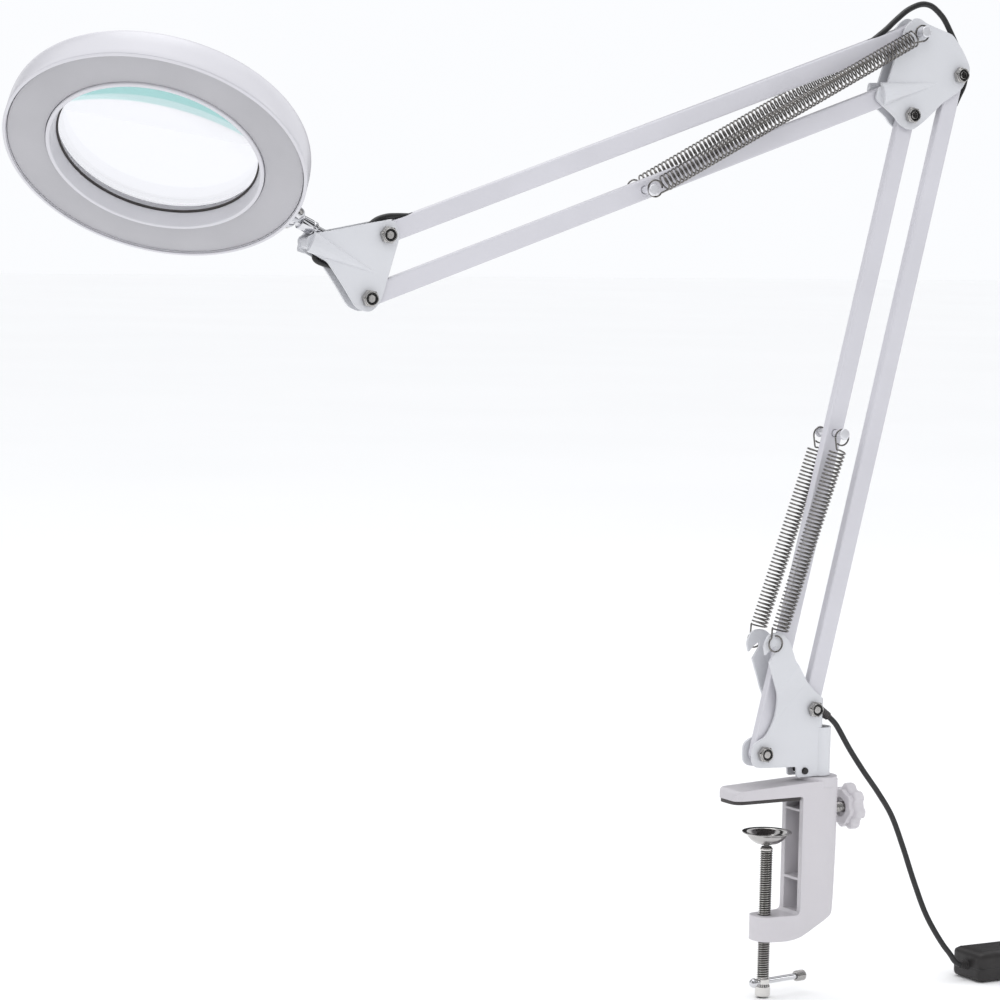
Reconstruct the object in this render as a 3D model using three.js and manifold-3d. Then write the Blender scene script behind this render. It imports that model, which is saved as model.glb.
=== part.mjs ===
// Magnifying lamp on a spring-balanced double-parallelogram arm with a table clamp.
// Millimetres, +Z up. The arm moves in the XZ plane, with the head towards -X.
// The origin is where the clamp screw's axis meets the underside of the upper jaw's pad.
import * as THREE from 'three';
import { mergeVertices } from 'three/addons/utils/BufferGeometryUtils.js';
import Module from 'manifold-3d';

const wasm = await Module();
wasm.setup();

// ---------- driving dimensions ----------
const FLOOR_Z = -110.2;        // lowest point of the clamp screw, and the surface the cord lies on
const GAP = 0.3;               // between pieces that touch

const POST_X = 33;             // swivel post axis
const POST_R = 5;
const SLEEVE_R = 6.4;          // rolled end of the base bracket, round the post
const BOSS_R = 10.6;           // clamp's boss and round back
const BOSS_TOP = 11.5;
const JAW_W = 20;              // width of both jaws and of the spine, along Y
const OPENING = 64;            // from the pad to the lower jaw
const PAD_T = 2;
const CUP_R = 13.7;
const CUP_RIM_Z = -17.7;
const SCREW_R = 3.6;
const NECK_TOP_Z = -24;       // the screw's top end, riveted over inside the cup
const BAR_Z = -101.5;          // sliding bar through the screw
const KNOB_Z = -7.5;
const KNOB_X = 54.6;

const PIVOT = new THREE.Vector3(-7.1, 0, 26.5);      // front tube's lower pivot: brackets are drawn from it
const BASE_LINK = [32.5, 22.9];                      // front pivot to rear pivot, in X and Z
const LOWER_LENGTH = 359;
const LOWER_ANGLE = 76.2;                            // degrees above +X
const UPPER_LENGTH = 347;
const UPPER_ANGLE = 180 + 19.3;
const ELBOW_RISE = [3.8, 45.3];                      // front tube's upper pivot to the top tube's pivot
const HEAD_LINK = [-9.9, -32.0];                     // top tube's pivot to the bottom tube's pivot

const TUBE_W = 10.4;           // in the arm's plane
const TUBE_D = 5.1;            // along Y
const TUBE_WALL = 1.0;
const PLATE_IN = 3.7;          // inner and outer faces of every bracket plate, from the arm's plane
const PLATE_OUT = 5.0;
const BOLT_R = 2.4;
const HOLE_R = 2.7;
const NUT_R = 4.6;             // across corners, halved
const SPRING_R = 4.8;
const SPRING_Y = 10.4;
const EAR_Y = 8.2;
const PIN_END = 12.6;

const HEAD_R = 75;
const HEAD_BACK = -18;         // depth behind the rim, along the head's axis
const LENS_R = 50.8;
const INNER_LIP_R = 53.5;
const HEAD_CENTRE = new THREE.Vector3(-368.9, 1.7, 347.0);
const HEAD_NORMAL = new THREE.Vector3(-0.431, -0.474, -0.777).normalize();
const STEM_DIR = new THREE.Vector3(0.915, 0, -0.4035).normalize();   // from the head to its bracket
const CABLE_R = 1.6;

// ---------- points worked out from them ----------
const rad = THREE.MathUtils.degToRad;
const at = (x, z, y = 0) => new THREE.Vector3(PIVOT.x + x, y, PIVOT.z + z);
const polar = (from, angle, length) =>
  new THREE.Vector3(from.x + length * Math.cos(rad(angle)), 0, from.z + length * Math.sin(rad(angle)));

const P1 = PIVOT;
const P2 = at(...BASE_LINK);
const P4 = polar(P1, LOWER_ANGLE, LOWER_LENGTH);
const P3 = polar(P2, LOWER_ANGLE, LOWER_LENGTH);
const P5 = new THREE.Vector3(P4.x + ELBOW_RISE[0], 0, P4.z + ELBOW_RISE[1]);
const P6 = new THREE.Vector3(P5.x + HEAD_LINK[0], 0, P5.z + HEAD_LINK[1]);
const H1 = polar(P5, UPPER_ANGLE, UPPER_LENGTH);
const H2 = polar(P6, UPPER_ANGLE, UPPER_LENGTH);
const LOWER_PIN = polar(P1, LOWER_ANGLE, LOWER_LENGTH / 2);
const UPPER_PIN = polar(P6, UPPER_ANGLE, UPPER_LENGTH / 2);
const EAR = at(1.6, 59.2);     // where the lower springs hook into the base bracket

// ---------- geometry helpers ----------
// One closed body: positions only, doubled vertices merged, flat triangles dropped, faces outward.
function closed(source) {
  let g = source.index ? source.toNonIndexed() : source.clone();
  for (const name of Object.keys(g.attributes)) if (name !== 'position') g.deleteAttribute(name);
  g = mergeVertices(g, 1e-4);
  const ids = g.index.array;
  const keep = [];
  for (let i = 0; i < ids.length; i += 3) {
    const [a, b, c] = [ids[i], ids[i + 1], ids[i + 2]];
    if (a !== b && b !== c && c !== a) keep.push(a, b, c);
  }
  const p = g.attributes.position;
  const v = [0, 1, 2].map(() => new THREE.Vector3());
  let volume = 0;
  for (let i = 0; i < keep.length; i += 3) {
    v.forEach((q, k) => q.fromBufferAttribute(p, keep[i + k]));
    volume += v[0].dot(v[1].cross(v[2])) / 6;
  }
  if (volume < 0) for (let i = 0; i < keep.length; i += 3) [keep[i], keep[i + 1]] = [keep[i + 1], keep[i]];
  g.setIndex(keep);
  return g;
}

function solid(source) {
  const g = closed(source);
  return new wasm.Manifold(new wasm.Mesh({
    numProp: 3,
    vertProperties: new Float32Array(g.attributes.position.array),
    triVerts: new Uint32Array(g.index.array),
  }));
}

function geometry(manifold) {
  const m = manifold.getMesh();
  const g = new THREE.BufferGeometry();
  g.setAttribute('position', new THREE.BufferAttribute(new Float32Array(m.vertProperties), 3));
  g.setIndex([...m.triVerts]);
  return g;
}

const join = (...list) => geometry(list.map(solid).reduce((a, b) => a.add(b)));
const cut = (body, ...tools) => geometry(tools.map(solid).reduce((a, b) => a.subtract(b), solid(body)));
const common = (a, b) => geometry(solid(a).intersect(solid(b)));
const mirrorY = (g) => closed(g.clone().applyMatrix4(new THREE.Matrix4().makeScale(1, -1, 1)));

// An outline of corners [x, z, fillet radius]; a fillet is a short curve between its tangent points.
function outline(corners) {
  const shape = new THREE.Shape();
  const n = corners.length;
  corners.forEach(([x, z, r = 0], i) => {
    const corner = new THREE.Vector2(x, z);
    const towards = (j) => {
      const d = new THREE.Vector2(corners[j][0], corners[j][1]).sub(corner);
      return corner.clone().add(d.setLength(Math.min(r, d.length() * 0.49)));
    };
    const a = towards((i + n - 1) % n);
    const b = towards((i + 1) % n);
    if (i === 0) shape.moveTo(a.x, a.y);
    else shape.lineTo(a.x, a.y);
    if (r > 0) shape.quadraticCurveTo(x, z, b.x, b.y);
  });
  shape.closePath();
  return shape;
}

// A prism of an XZ outline, from y0 to y1.
function prism(shape, y0, y1, curveSegments = 4) {
  const g = new THREE.ExtrudeGeometry(shape, { depth: y1 - y0, bevelEnabled: false, curveSegments });
  return g.rotateX(Math.PI / 2).translate(0, y1, 0);
}

// Local +Y is turned to the given direction and the local origin is put at a point.
function place(g, from, direction) {
  const turn = new THREE.Quaternion().setFromUnitVectors(new THREE.Vector3(0, 1, 0), direction.clone().normalize());
  return g.applyQuaternion(turn).translate(from.x, from.y, from.z);
}

function rod(a, b, r, sides = 16, rEnd = r) {
  const length = a.distanceTo(b);
  const g = new THREE.CylinderGeometry(rEnd, r, length, sides).translate(0, length / 2, 0);
  return place(g, a, b.clone().sub(a));
}

const crossRod = (p, r, y0, y1, sides = 14) =>
  rod(new THREE.Vector3(p.x, y0, p.z), new THREE.Vector3(p.x, y1, p.z), r, sides);

// A turned piece: profile [radius, distance along the axis], closed or starting and ending on the axis.
function turned(profile, from, direction, sides = 24) {
  return place(new THREE.LatheGeometry(profile.map(([r, s]) => new THREE.Vector2(r, s)), sides), from, direction);
}

function tubeAlong(points, r, steps, sides = 8) {
  const section = new THREE.Shape();
  for (let i = 0; i < sides; i++) {
    const t = (2 * Math.PI * i) / sides;
    if (i === 0) section.moveTo(r * Math.cos(t), r * Math.sin(t));
    else section.lineTo(r * Math.cos(t), r * Math.sin(t));
  }
  section.closePath();
  const extrudePath = new THREE.CatmullRomCurve3(points.map((p) => new THREE.Vector3(...p)));
  return new THREE.ExtrudeGeometry(section, { steps, extrudePath, bevelEnabled: false, curveSegments: 1 });
}

// ---------- materials and the scene graph ----------
const finish = (color, roughness, metalness) => ({ color, roughness, metalness });
const WHITE_PAINT = finish(0xdcdde3, 0.42, 0.0);
const CLAMP_PAINT = finish(0xd3d1d6, 0.45, 0.0);
const CHROME = finish(0xc8c8cc, 0.12, 1.0);
const ZINC = finish(0xb8b8b4, 0.28, 1.0);
const SPRING_STEEL = finish(0x9a958e, 0.3, 1.0);
const WHITE_PLASTIC = finish(0xe9e8f0, 0.35, 0.0);
const DIFFUSER = finish(0xbdbcc1, 0.6, 0.0);
const GLASS = finish(0xf4f4ff, 0.05, 0.0);
const RUBBER = finish(0x2a2828, 0.75, 0.0);
const BLACK_PLASTIC = finish(0x222020, 0.5, 0.0);
const CIRCUIT = finish(0xe8e6de, 0.5, 0.0);

const lamp = new THREE.Group();

function add(name, g, look) {
  const mesh = new THREE.Mesh(closed(g), new THREE.MeshStandardMaterial(look));
  mesh.name = name;
  lamp.add(mesh);
}

// ---------- clamp ----------
function clampFrame() {
  const half = JAW_W / 2;
  const back = POST_X + BOSS_R;
  const inner = POST_X - 16.2;
  const lowTop = -OPENING;
  const side = outline([
    [-28, PAD_T, 0.8], [inner, PAD_T, 1.5], [inner, lowTop, 3], [-11, lowTop, 1.5], [-11, lowTop - 13.5, 3],
    [14, lowTop - 14.5, 9], [back - 5, lowTop - 1, 3], [back, 9.9, 1], [POST_X - 12, 9.6, 1],
    [-26, 7.4, 3],
  ]);
  const body = prism(side, -half, half);
  const plan = (shape, z0, z1) =>
    new THREE.ExtrudeGeometry(shape, { depth: z1 - z0, bevelEnabled: false, curveSegments: 8 }).translate(0, 0, z0);
  const upper = outline([[-28, -half, 7], [-28, half, 7], [inner, half, 0], [back, half, BOSS_R],
    [back, -half, BOSS_R], [inner, -half, 0]]);
  const lower = outline([[-7.6, -7.5, 7], [-7.6, 7.5, 7], [4, 8.2, 3], [inner, half, 0], [back, half, BOSS_R],
    [back, -half, BOSS_R], [inner, -half, 0], [4, -8.2, 3]]);
  const envelope = join(plan(upper, -40, BOSS_TOP), plan(lower, lowTop - 20, -39));
  const boss = rod(new THREE.Vector3(POST_X, 0, 6), new THREE.Vector3(POST_X, 0, BOSS_TOP), BOSS_R - 0.1, 32);
  const pocket = (z0, z1) => new THREE.BoxGeometry(13, 13, z1 - z0).translate(inner + 5.5, 0, (z0 + z1) / 2);
  const postBore = rod(new THREE.Vector3(POST_X, 0, -24), new THREE.Vector3(POST_X, 0, 40), POST_R + GAP, 32);
  const screwHole = rod(new THREE.Vector3(0, 0, -90), new THREE.Vector3(0, 0, -50), SCREW_R + GAP, 24);
  const studHole = rod(new THREE.Vector3(POST_X, 0, KNOB_Z), new THREE.Vector3(60, 0, KNOB_Z), 2.75 + GAP, 20);
  return cut(join(common(body, envelope), boss), pocket(-5.6, -0.5), pocket(-43.8, -7), pocket(-62.5, -45.2),
    postBore, screwHole, studHole);
}
add('clamp_frame', clampFrame(), CLAMP_PAINT);

const padShape = outline([[-27.4, -9.4, 6.5], [-27.4, 9.4, 6.5], [15.6, 9.4, 1], [15.6, -9.4, 1]]);
add('clamp_pad', new THREE.ExtrudeGeometry(padShape, { depth: PAD_T - 0.1, bevelEnabled: false, curveSegments: 6 }), RUBBER);

const DOWN = new THREE.Vector3(0, 0, -1);
const UP = new THREE.Vector3(0, 0, 1);
const tommyHole = rod(new THREE.Vector3(-10, 0, BAR_Z), new THREE.Vector3(10, 0, BAR_Z), 1.65 + 0.25, 12);
const screwTurn = rad(8);
tommyHole.applyMatrix4(new THREE.Matrix4().makeRotationZ(screwTurn));
add('clamp_screw', cut(
  turned([[0, 0], [1.6, 0], [1.6, 2], [SCREW_R - 0.9, 2], [SCREW_R, 3.2], [SCREW_R, 78.5], [SCREW_R + 0.6, 80],
    [SCREW_R + 0.6, 85], [2.2, NECK_TOP_Z - FLOOR_Z], [0, NECK_TOP_Z - FLOOR_Z]],
  new THREE.Vector3(0, 0, NECK_TOP_Z), DOWN, 20), tommyHole), ZINC);
add('clamp_cup', turned([[1.6 + GAP, -24.9], [6.2, -24.2], [9.8, -21.6], [11.6, -18.6], [CUP_R, CUP_RIM_Z - 0.6],
  [CUP_R, CUP_RIM_Z], [11.0, -17.9], [9.0, -20.9], [5.8, -23.1], [3.2, -23.6], [1.6 + GAP, -23.7],
  [1.6 + GAP, -24.9]], new THREE.Vector3(0, 0, 0), UP, 28), ZINC);

const barPoint = (s) => new THREE.Vector3(s * Math.cos(screwTurn), s * Math.sin(screwTurn), BAR_Z);
add('tommy_bar', join(rod(barPoint(-6), barPoint(31), 1.65, 12),
  new THREE.SphereGeometry(2.6, 16, 12).translate(...barPoint(-6.6).toArray())), CHROME);
add('tommy_cap', turned([[1.9, 0], [3.0, 0.6], [3.0, 5.4], [2.4, 6], [1.9, 6], [1.9, 0]],
  barPoint(24.5), barPoint(1).sub(barPoint(0)), 16), ZINC);

const X = new THREE.Vector3(1, 0, 0);
add('lock_stud', turned([[0, 0], [2.3, 0], [2.75, 0.5], [2.75, 17.4], [0, 17.4]],
  new THREE.Vector3(POST_X + POST_R + 0.4, 0, KNOB_Z), X, 20), ZINC);
function starKnob() {
  const star = new THREE.Shape();
  const lobes = 7;
  const count = lobes * 8;
  for (let i = 0; i < count; i++) {
    const t = (2 * Math.PI * i) / count;
    const r = 12.0 + 1.1 * Math.tanh(2.2 * Math.cos(lobes * t));
    if (i === 0) star.moveTo(r * Math.cos(t), r * Math.sin(t));
    else star.lineTo(r * Math.cos(t), r * Math.sin(t));
  }
  star.closePath();
  const body = new THREE.ExtrudeGeometry(star, { depth: 6.6, bevelEnabled: false, curveSegments: 1 });
  const toX = new THREE.Matrix4().makeRotationY(Math.PI / 2);
  body.applyMatrix4(toX).translate(KNOB_X - 3.3, 0, KNOB_Z);
  const hub = turned([[0, 0], [8.8, 0], [9.4, 0.6], [9.4, 3.2], [0, 3.2]], new THREE.Vector3(KNOB_X - 6.2, 0, KNOB_Z), X, 28);
  const recess = turned([[0, -1], [5.2, -1], [5.2, 2.2], [2.75 + GAP, 2.2], [2.75 + GAP, 7.6], [0, 7.6]],
    new THREE.Vector3(KNOB_X - 6.2, 0, KNOB_Z), X, 20);
  return cut(join(body, hub), recess);
}
add('lock_knob', starKnob(), CLAMP_PAINT);

// ---------- base bracket, its post and pivots ----------
const BASE_OUTLINE = [
  [-7.6, -7.6, 6], [22, -8.6, 1], [22.4, -14.6, 1.5], [37.6, -14.6, 0], [37.6, 12.3, 0], [40.4, 13, 1], [40.4, 27, 4],
  [30.8, 34.6, 2], [16.9, 50.8, 1], [12.6, 62, 4], [6.5, 67.2, 3.5], [-1.5, 66.2, 3], [-4.3, 60, 1.5], [-3.3, 54.6, 0.5],
  [0.2, 58, 0.8], [3.4, 60, 1.4], [4, 57.4, 1.2], [-0.5, 50.8, 0.5], [3.4, 39.8, 3], [6.8, 29.5, 4], [6.6, 18.5, 4],
  [1.4, 9.4, 3], [-7.6, 5.4, 4],
];
const shifted = (points) => points.map(([x, z, r]) => [x + PIVOT.x, z + PIVOT.z, r]);

// Sheet with one joggle: flat, a ramp, then flat again EAR_Y from the arm's plane. The fold lines run at 45 degrees.
function joggledSheet() {
  const t = PLATE_OUT - PLATE_IN;
  const ramp = [8, 20.5];
  const profile = new THREE.Shape();
  [[-90, PLATE_IN], [ramp[0], PLATE_IN], [ramp[1], EAR_Y - t / 2], [120, EAR_Y - t / 2], [120, EAR_Y + t / 2],
    [ramp[1] - 0.2, EAR_Y + t / 2], [ramp[0] - 0.2, PLATE_OUT], [-90, PLATE_OUT]]
    .forEach(([p, y], i) => (i === 0 ? profile.moveTo(p, y) : profile.lineTo(p, y)));
  profile.closePath();
  const g = new THREE.ExtrudeGeometry(profile, { depth: 300, bevelEnabled: false }).translate(0, 0, -150);
  const s = Math.SQRT1_2;
  const basis = new THREE.Matrix4().makeBasis(new THREE.Vector3(-s, 0, s), new THREE.Vector3(0, 1, 0),
    new THREE.Vector3(-s, 0, -s));
  return g.applyMatrix4(basis).translate(PIVOT.x, 0, PIVOT.z);
}

function baseBracket() {
  const far = common(joggledSheet(), prism(outline(shifted(BASE_OUTLINE)), 0, 14));
  const near = mirrorY(far);
  const z0 = PIVOT.z - 14.6;
  const z1 = PIVOT.z + 12.3;
  const axis = (z) => new THREE.Vector3(POST_X, 0, z);
  const sleeve = rod(axis(z0), axis(z1), SLEEVE_R, 32);
  const core = rod(axis(z0 - 1), axis(z1 + 60), POST_R + GAP, 32);
  const holes = [P1, P2].map((p) => crossRod(p, HOLE_R, -20, 20));
  holes.push(crossRod(at(27.6, -11.2), 1.7 + GAP, -20, 20, 12));
  return cut(join(near, far, sleeve), core, ...holes);
}
add('base_bracket', baseBracket(), WHITE_PAINT);
add('base_post', turned([[0, 0], [4.2, 0], [POST_R, 1], [POST_R, 59.5], [4.4, 60.2], [0, 60.2]],
  new THREE.Vector3(POST_X, 0, -22.3), UP, 28), ZINC);
add('base_pinch_screw', crossRod(at(27.6, -11.2), 1.7, -6.2, 6.2, 12), BLACK_PLASTIC);

// Pivot bolt: round head on the far side, shank to the near side. Its lock nut has a nylon collar.
function pivotBolt(name, p) {
  add(name + '_bolt', turned([[0, -9], [BOLT_R - 0.5, -9], [BOLT_R, -8.5], [BOLT_R, PLATE_OUT + GAP],
    [4.3, PLATE_OUT + GAP], [4.3, 7.2], [2.6, 8.3], [0, 8.3]], new THREE.Vector3(p.x, 0, p.z), new THREE.Vector3(0, 1, 0), 14),
  ZINC);
}
function lockNut(name, p) {
  const hex = new THREE.CylinderGeometry(NUT_R, NUT_R, 3.4, 6).translate(0, -7.0, 0);
  const collar = new THREE.CylinderGeometry(3.7, 3.7, 4.2, 14).translate(0, -7.2, 0);
  const nut = join(hex, collar).rotateY(rad(12)).translate(p.x, 0, p.z);
  add(name + '_nut', cut(nut, crossRod(p, BOLT_R + 0.2, -12, 0, 14)), ZINC);
}
for (const [name, p] of [['base_front', P1], ['base_rear', P2], ['elbow_front', P4], ['elbow_rear', P3],
  ['head_top', H1], ['head_bottom', H2]]) {
  pivotBolt(name, p);
  lockNut(name, p);
}

// ---------- tubes ----------
// Rectangular tube from pivot a to pivot b with round ends, drilled across at both and where a pin or cable passes.
function armTube(a, b, drills = []) {
  const length = a.distanceTo(b);
  const r = TUBE_W / 2;
  const box = (w, d, round) => outline([[-w, -d, round], [w, -d, round], [w, d, round], [-w, d, round]]);
  const section = box(r, TUBE_D / 2, 0.9);
  section.holes.push(new THREE.Path(box(r - TUBE_WALL, TUBE_D / 2 - TUBE_WALL, 0.4).getPoints(2).reverse()));
  const g = new THREE.ExtrudeGeometry(section, { depth: length + 2 * r, bevelEnabled: false, curveSegments: 2 });
  const along = b.clone().sub(a).normalize();
  const across = new THREE.Vector3(0, 1, 0).cross(along);
  g.translate(0, 0, -r).applyMatrix4(new THREE.Matrix4().makeBasis(across, new THREE.Vector3(0, 1, 0), along));
  g.translate(a.x, 0, a.z);
  const ends = join(crossRod(a, r, -6, 6, 20), crossRod(b, r, -6, 6, 20),
    prismBetween(a, b, r));
  return cut(common(g, ends), crossRod(a, HOLE_R, -6, 6), crossRod(b, HOLE_R, -6, 6), ...drills);
}
function prismBetween(a, b, r) {
  const n = b.clone().sub(a).normalize().multiplyScalar(r);
  const corner = (p, s) => [p.x - s * n.z, p.z + s * n.x, 0];
  return prism(outline([corner(a, 1), corner(a, -1), corner(b, -1), corner(b, 1)]), -6, 6);
}
const PIN_HOLE = 1.9 + GAP;
const up = (p, x, z) => [p.x + x, p.z + z];
const slant = ([x0, z0], [x1, z1]) => rod(new THREE.Vector3(x0, 0, z0), new THREE.Vector3(x1, 0, z1), 2.15, 14);
const ELBOW_SLOT = slant(up(P5, -35.5, -10.9), up(P5, -14, 3.6));
const HEAD_SLOT = slant(up(H1, 27, 9.3), up(H1, 4, 9.3));
const REAR_SLOT = slant(up(P3, 7.2, -5), up(P3, -5.5, -28));
add('lower_front_tube', armTube(P1, P4, [crossRod(LOWER_PIN, PIN_HOLE, -6, 6)]), WHITE_PAINT);
add('lower_rear_tube', armTube(P2, P3, [REAR_SLOT]), WHITE_PAINT);
add('upper_top_tube', armTube(P5, H1, [ELBOW_SLOT, HEAD_SLOT]), WHITE_PAINT);
add('upper_bottom_tube', armTube(P6, H2, [crossRod(UPPER_PIN, PIN_HOLE, -6, 6)]), WHITE_PAINT);

// ---------- spring pins and springs ----------
function springPin(name, p, shank, cap) {
  const y = SPRING_Y + 0.9;
  add(name, turned([[0, -PIN_END], [cap, -PIN_END], [cap, -y], [shank, -y], [shank, y], [cap, y], [cap, PIN_END],
    [0, PIN_END]], new THREE.Vector3(p.x, 0, p.z), new THREE.Vector3(0, 1, 0), 18), CHROME);
}
springPin('lower_spring_pin', LOWER_PIN, 1.9, 3.1);
springPin('upper_spring_pin', UPPER_PIN, 1.9, 3.1);
springPin('elbow_spring_pin', P5, BOLT_R, 3.1);

// A spring is a plain round bar here, with a thin hook shank at each end that stops short of its pin.
function springBar(a, b, hookA, hookB) {
  const u = b.clone().sub(a).normalize();
  const on = (p, s) => p.clone().addScaledVector(u, s);
  return join(rod(on(a, hookA), on(b, -hookB), SPRING_R, 12), rod(on(a, 3.2), on(b, -2.9), 0.55, 6));
}
for (const [side, sign] of [['near', -1], ['far', 1]]) {
  const y = (p, d = SPRING_Y) => new THREE.Vector3(p.x, sign * d, p.z);
  add('lower_spring_' + side, springBar(y(LOWER_PIN), y(EAR, EAR_Y + 1.6), 8, 15), SPRING_STEEL);
  add('upper_spring_' + side, springBar(y(UPPER_PIN), y(P5), 8, 9), SPRING_STEEL);
}

// ---------- elbow bracket ----------
const ELBOW_OUTLINE = [
  [88.1, 402.4, 3.5], [94.5, 398.9, 2], [113, 393.4, 3], [120.6, 384.2, 4], [126, 374.8, 4], [120, 363.6, 4],
  [107.2, 356, 3], [101.9, 351.4, 2], [92.6, 343.8, 4], [85.8, 339.8, 4], [78.4, 343, 4], [75.2, 347.4, 3], [67.9, 352.4, 2],
  [61.7, 356.7, 2], [63.4, 363.5, 3], [68.9, 364.4, 1.5], [74.3, 380, 3], [81, 397.5, 3],
];
// A half cone pressed out of the sheet: wide at its open mouth, running to nothing at its tip.
function emboss(mouth, tip, radius, height, side) {
  const way = tip.clone().sub(mouth);
  const cone = new THREE.CylinderGeometry(0.4, radius, way.length(), 14).translate(0, way.length() / 2, 0);
  const turn = new THREE.Quaternion().setFromUnitVectors(new THREE.Vector3(0, 1, 0), way.clone().normalize());
  cone.applyQuaternion(turn).applyMatrix4(new THREE.Matrix4().makeScale(1, height / radius, 1));
  return cone.translate(mouth.x, side * (PLATE_OUT - 0.2), mouth.z);
}
const outside = (side) => new THREE.BoxGeometry(900, 20, 900)
  .translate(0, side * (PLATE_OUT + 9.8), 300);
function elbowBracket() {
  const shape = outline(shifted(ELBOW_OUTLINE));
  const plates = [prism(shape, PLATE_IN, PLATE_OUT), prism(shape, -PLATE_OUT, -PLATE_IN)];
  const web = prism(outline(shifted([[96, 398.3, 0], [112.3, 393.5, 0], [111.9, 392.2, 0], [95.6, 397.0, 0]])),
    -PLATE_OUT, PLATE_OUT);
  const holes = [P3, P4].map((p) => crossRod(p, HOLE_R, -20, 20));
  holes.push(crossRod(P5, HOLE_R, -20, 20), crossRod(P6, HOLE_R, -PLATE_OUT, PLATE_OUT));
  const bumps = [1, -1].map((s) => common(emboss(at(65.5, 359.6), at(103.5, 366.6), 6.4, 3.6, s), outside(s)));
  return cut(join(...plates, web, ...bumps), ...holes);
}
add('elbow_bracket', elbowBracket(), WHITE_PAINT);
add('elbow_lower_rivet', crossRod(P6, BOLT_R, -PLATE_OUT + GAP, PLATE_OUT - GAP, 20), ZINC);

// ---------- head bracket ----------
const HEAD_OUTLINE = [
  [-283.9, 277, 3], [-278.7, 279.6, 2], [-267.1, 281.3, 4], [-243.5, 285.8, 3], [-234, 287.2, 4], [-230.6, 279, 4],
  [-237, 258.1, 4], [-240.8, 245.6, 4], [-247, 239.6, 4], [-254.9, 242.6, 3], [-262.6, 253.9, 2], [-271.2, 265.3, 2],
  [-282.4, 270.8, 3],
];
const towardsStem = STEM_DIR.clone().addScaledVector(HEAD_NORMAL, -STEM_DIR.dot(HEAD_NORMAL)).normalize();
const T = HEAD_CENTRE.clone().addScaledVector(towardsStem, HEAD_R + 5).addScaledVector(HEAD_NORMAL, -5);
HEAD_CENTRE.y -= T.y;
T.y = 0;
const stem = (s) => T.clone().addScaledVector(STEM_DIR, s);

function headBracket() {
  const shape = outline(shifted(HEAD_OUTLINE));
  const plates = [prism(shape, PLATE_IN, PLATE_OUT), prism(shape, -PLATE_OUT, -PLATE_IN)];
  const nose = prism(outline(shifted([[-283.2, 276.6, 2], [-279.4, 277.6, 1], [-276.6, 271.6, 1], [-281.9, 271.3, 2]])),
    -PLATE_OUT, PLATE_OUT);
  const bumps = [1, -1].map((s) => common(emboss(at(-281, 275.4), at(-243.5, 259.6), 5.6, 3.2, s), outside(s)));
  const holes = [H1, H2].map((p) => crossRod(p, HOLE_R, -20, 20));
  return cut(join(...plates, nose, ...bumps), ...holes, rod(stem(8), stem(60), 3.65, 24));
}
add('head_bracket', headBracket(), WHITE_PAINT);
add('stem_bush', turned([[2.3 + GAP, 22], [3.4, 22], [3.4, 40], [2.3 + GAP, 40], [2.3 + GAP, 22]], T, STEM_DIR, 20),
  BLACK_PLASTIC);

// ---------- stem and tilt hinge ----------
const tiltAxis = HEAD_NORMAL.clone().cross(towardsStem).normalize();   // points up and towards -Y
const fork = (s) => T.clone().addScaledVector(tiltAxis, s);
const eye = rod(fork(-1.6), fork(1.6), 3.0, 20);
const tongueSide = STEM_DIR.clone().cross(tiltAxis).normalize();
const tongue = new THREE.BoxGeometry(4.8, 6, 3.2).translate(0, 3, 0)
  .applyMatrix4(new THREE.Matrix4().makeBasis(tongueSide, tiltAxis.clone().cross(tongueSide), tiltAxis)
    .setPosition(T));
const barrel = turned([[0, 4.4], [3.8, 4.4], [3.8, 11.2], [3.3, 11.3], [3.3, 11.8], [3.6, 12], [3.6, 14], [2.3, 14.6],
  [2.3, 41], [0, 41]],
  T, STEM_DIR, 20);
add('head_stem', cut(join(eye, tongue, barrel), rod(fork(-4), fork(4), 1.6 + GAP, 14)), CHROME);
const hinge = (profile) => turned(profile, T, tiltAxis, 18);
add('tilt_bolt', hinge([[0, -6.6], [2.9, -6.6], [3.2, -6.2], [3.2, -4.7], [1.6, -4.7], [1.6, 7.4], [0, 7.4]]), ZINC);
add('tilt_nut', place(cut(new THREE.CylinderGeometry(3.2, 3.2, 2.6, 6).translate(0, 6.0, 0),
  new THREE.CylinderGeometry(1.8, 1.8, 8, 14).translate(0, 6, 0)), T, tiltAxis), ZINC);

// ---------- head: drawn face up round its own axis, then turned to its place ----------
const headFrame = new THREE.Matrix4().makeBasis(towardsStem, HEAD_NORMAL,
  towardsStem.clone().cross(HEAD_NORMAL)).setPosition(HEAD_CENTRE.clone().addScaledVector(HEAD_NORMAL, 7.5));
const ring = (profile, sides = 48) =>
  new THREE.LatheGeometry(profile.map(([r, s]) => new THREE.Vector2(r, s)), sides).applyMatrix4(headFrame);

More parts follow.
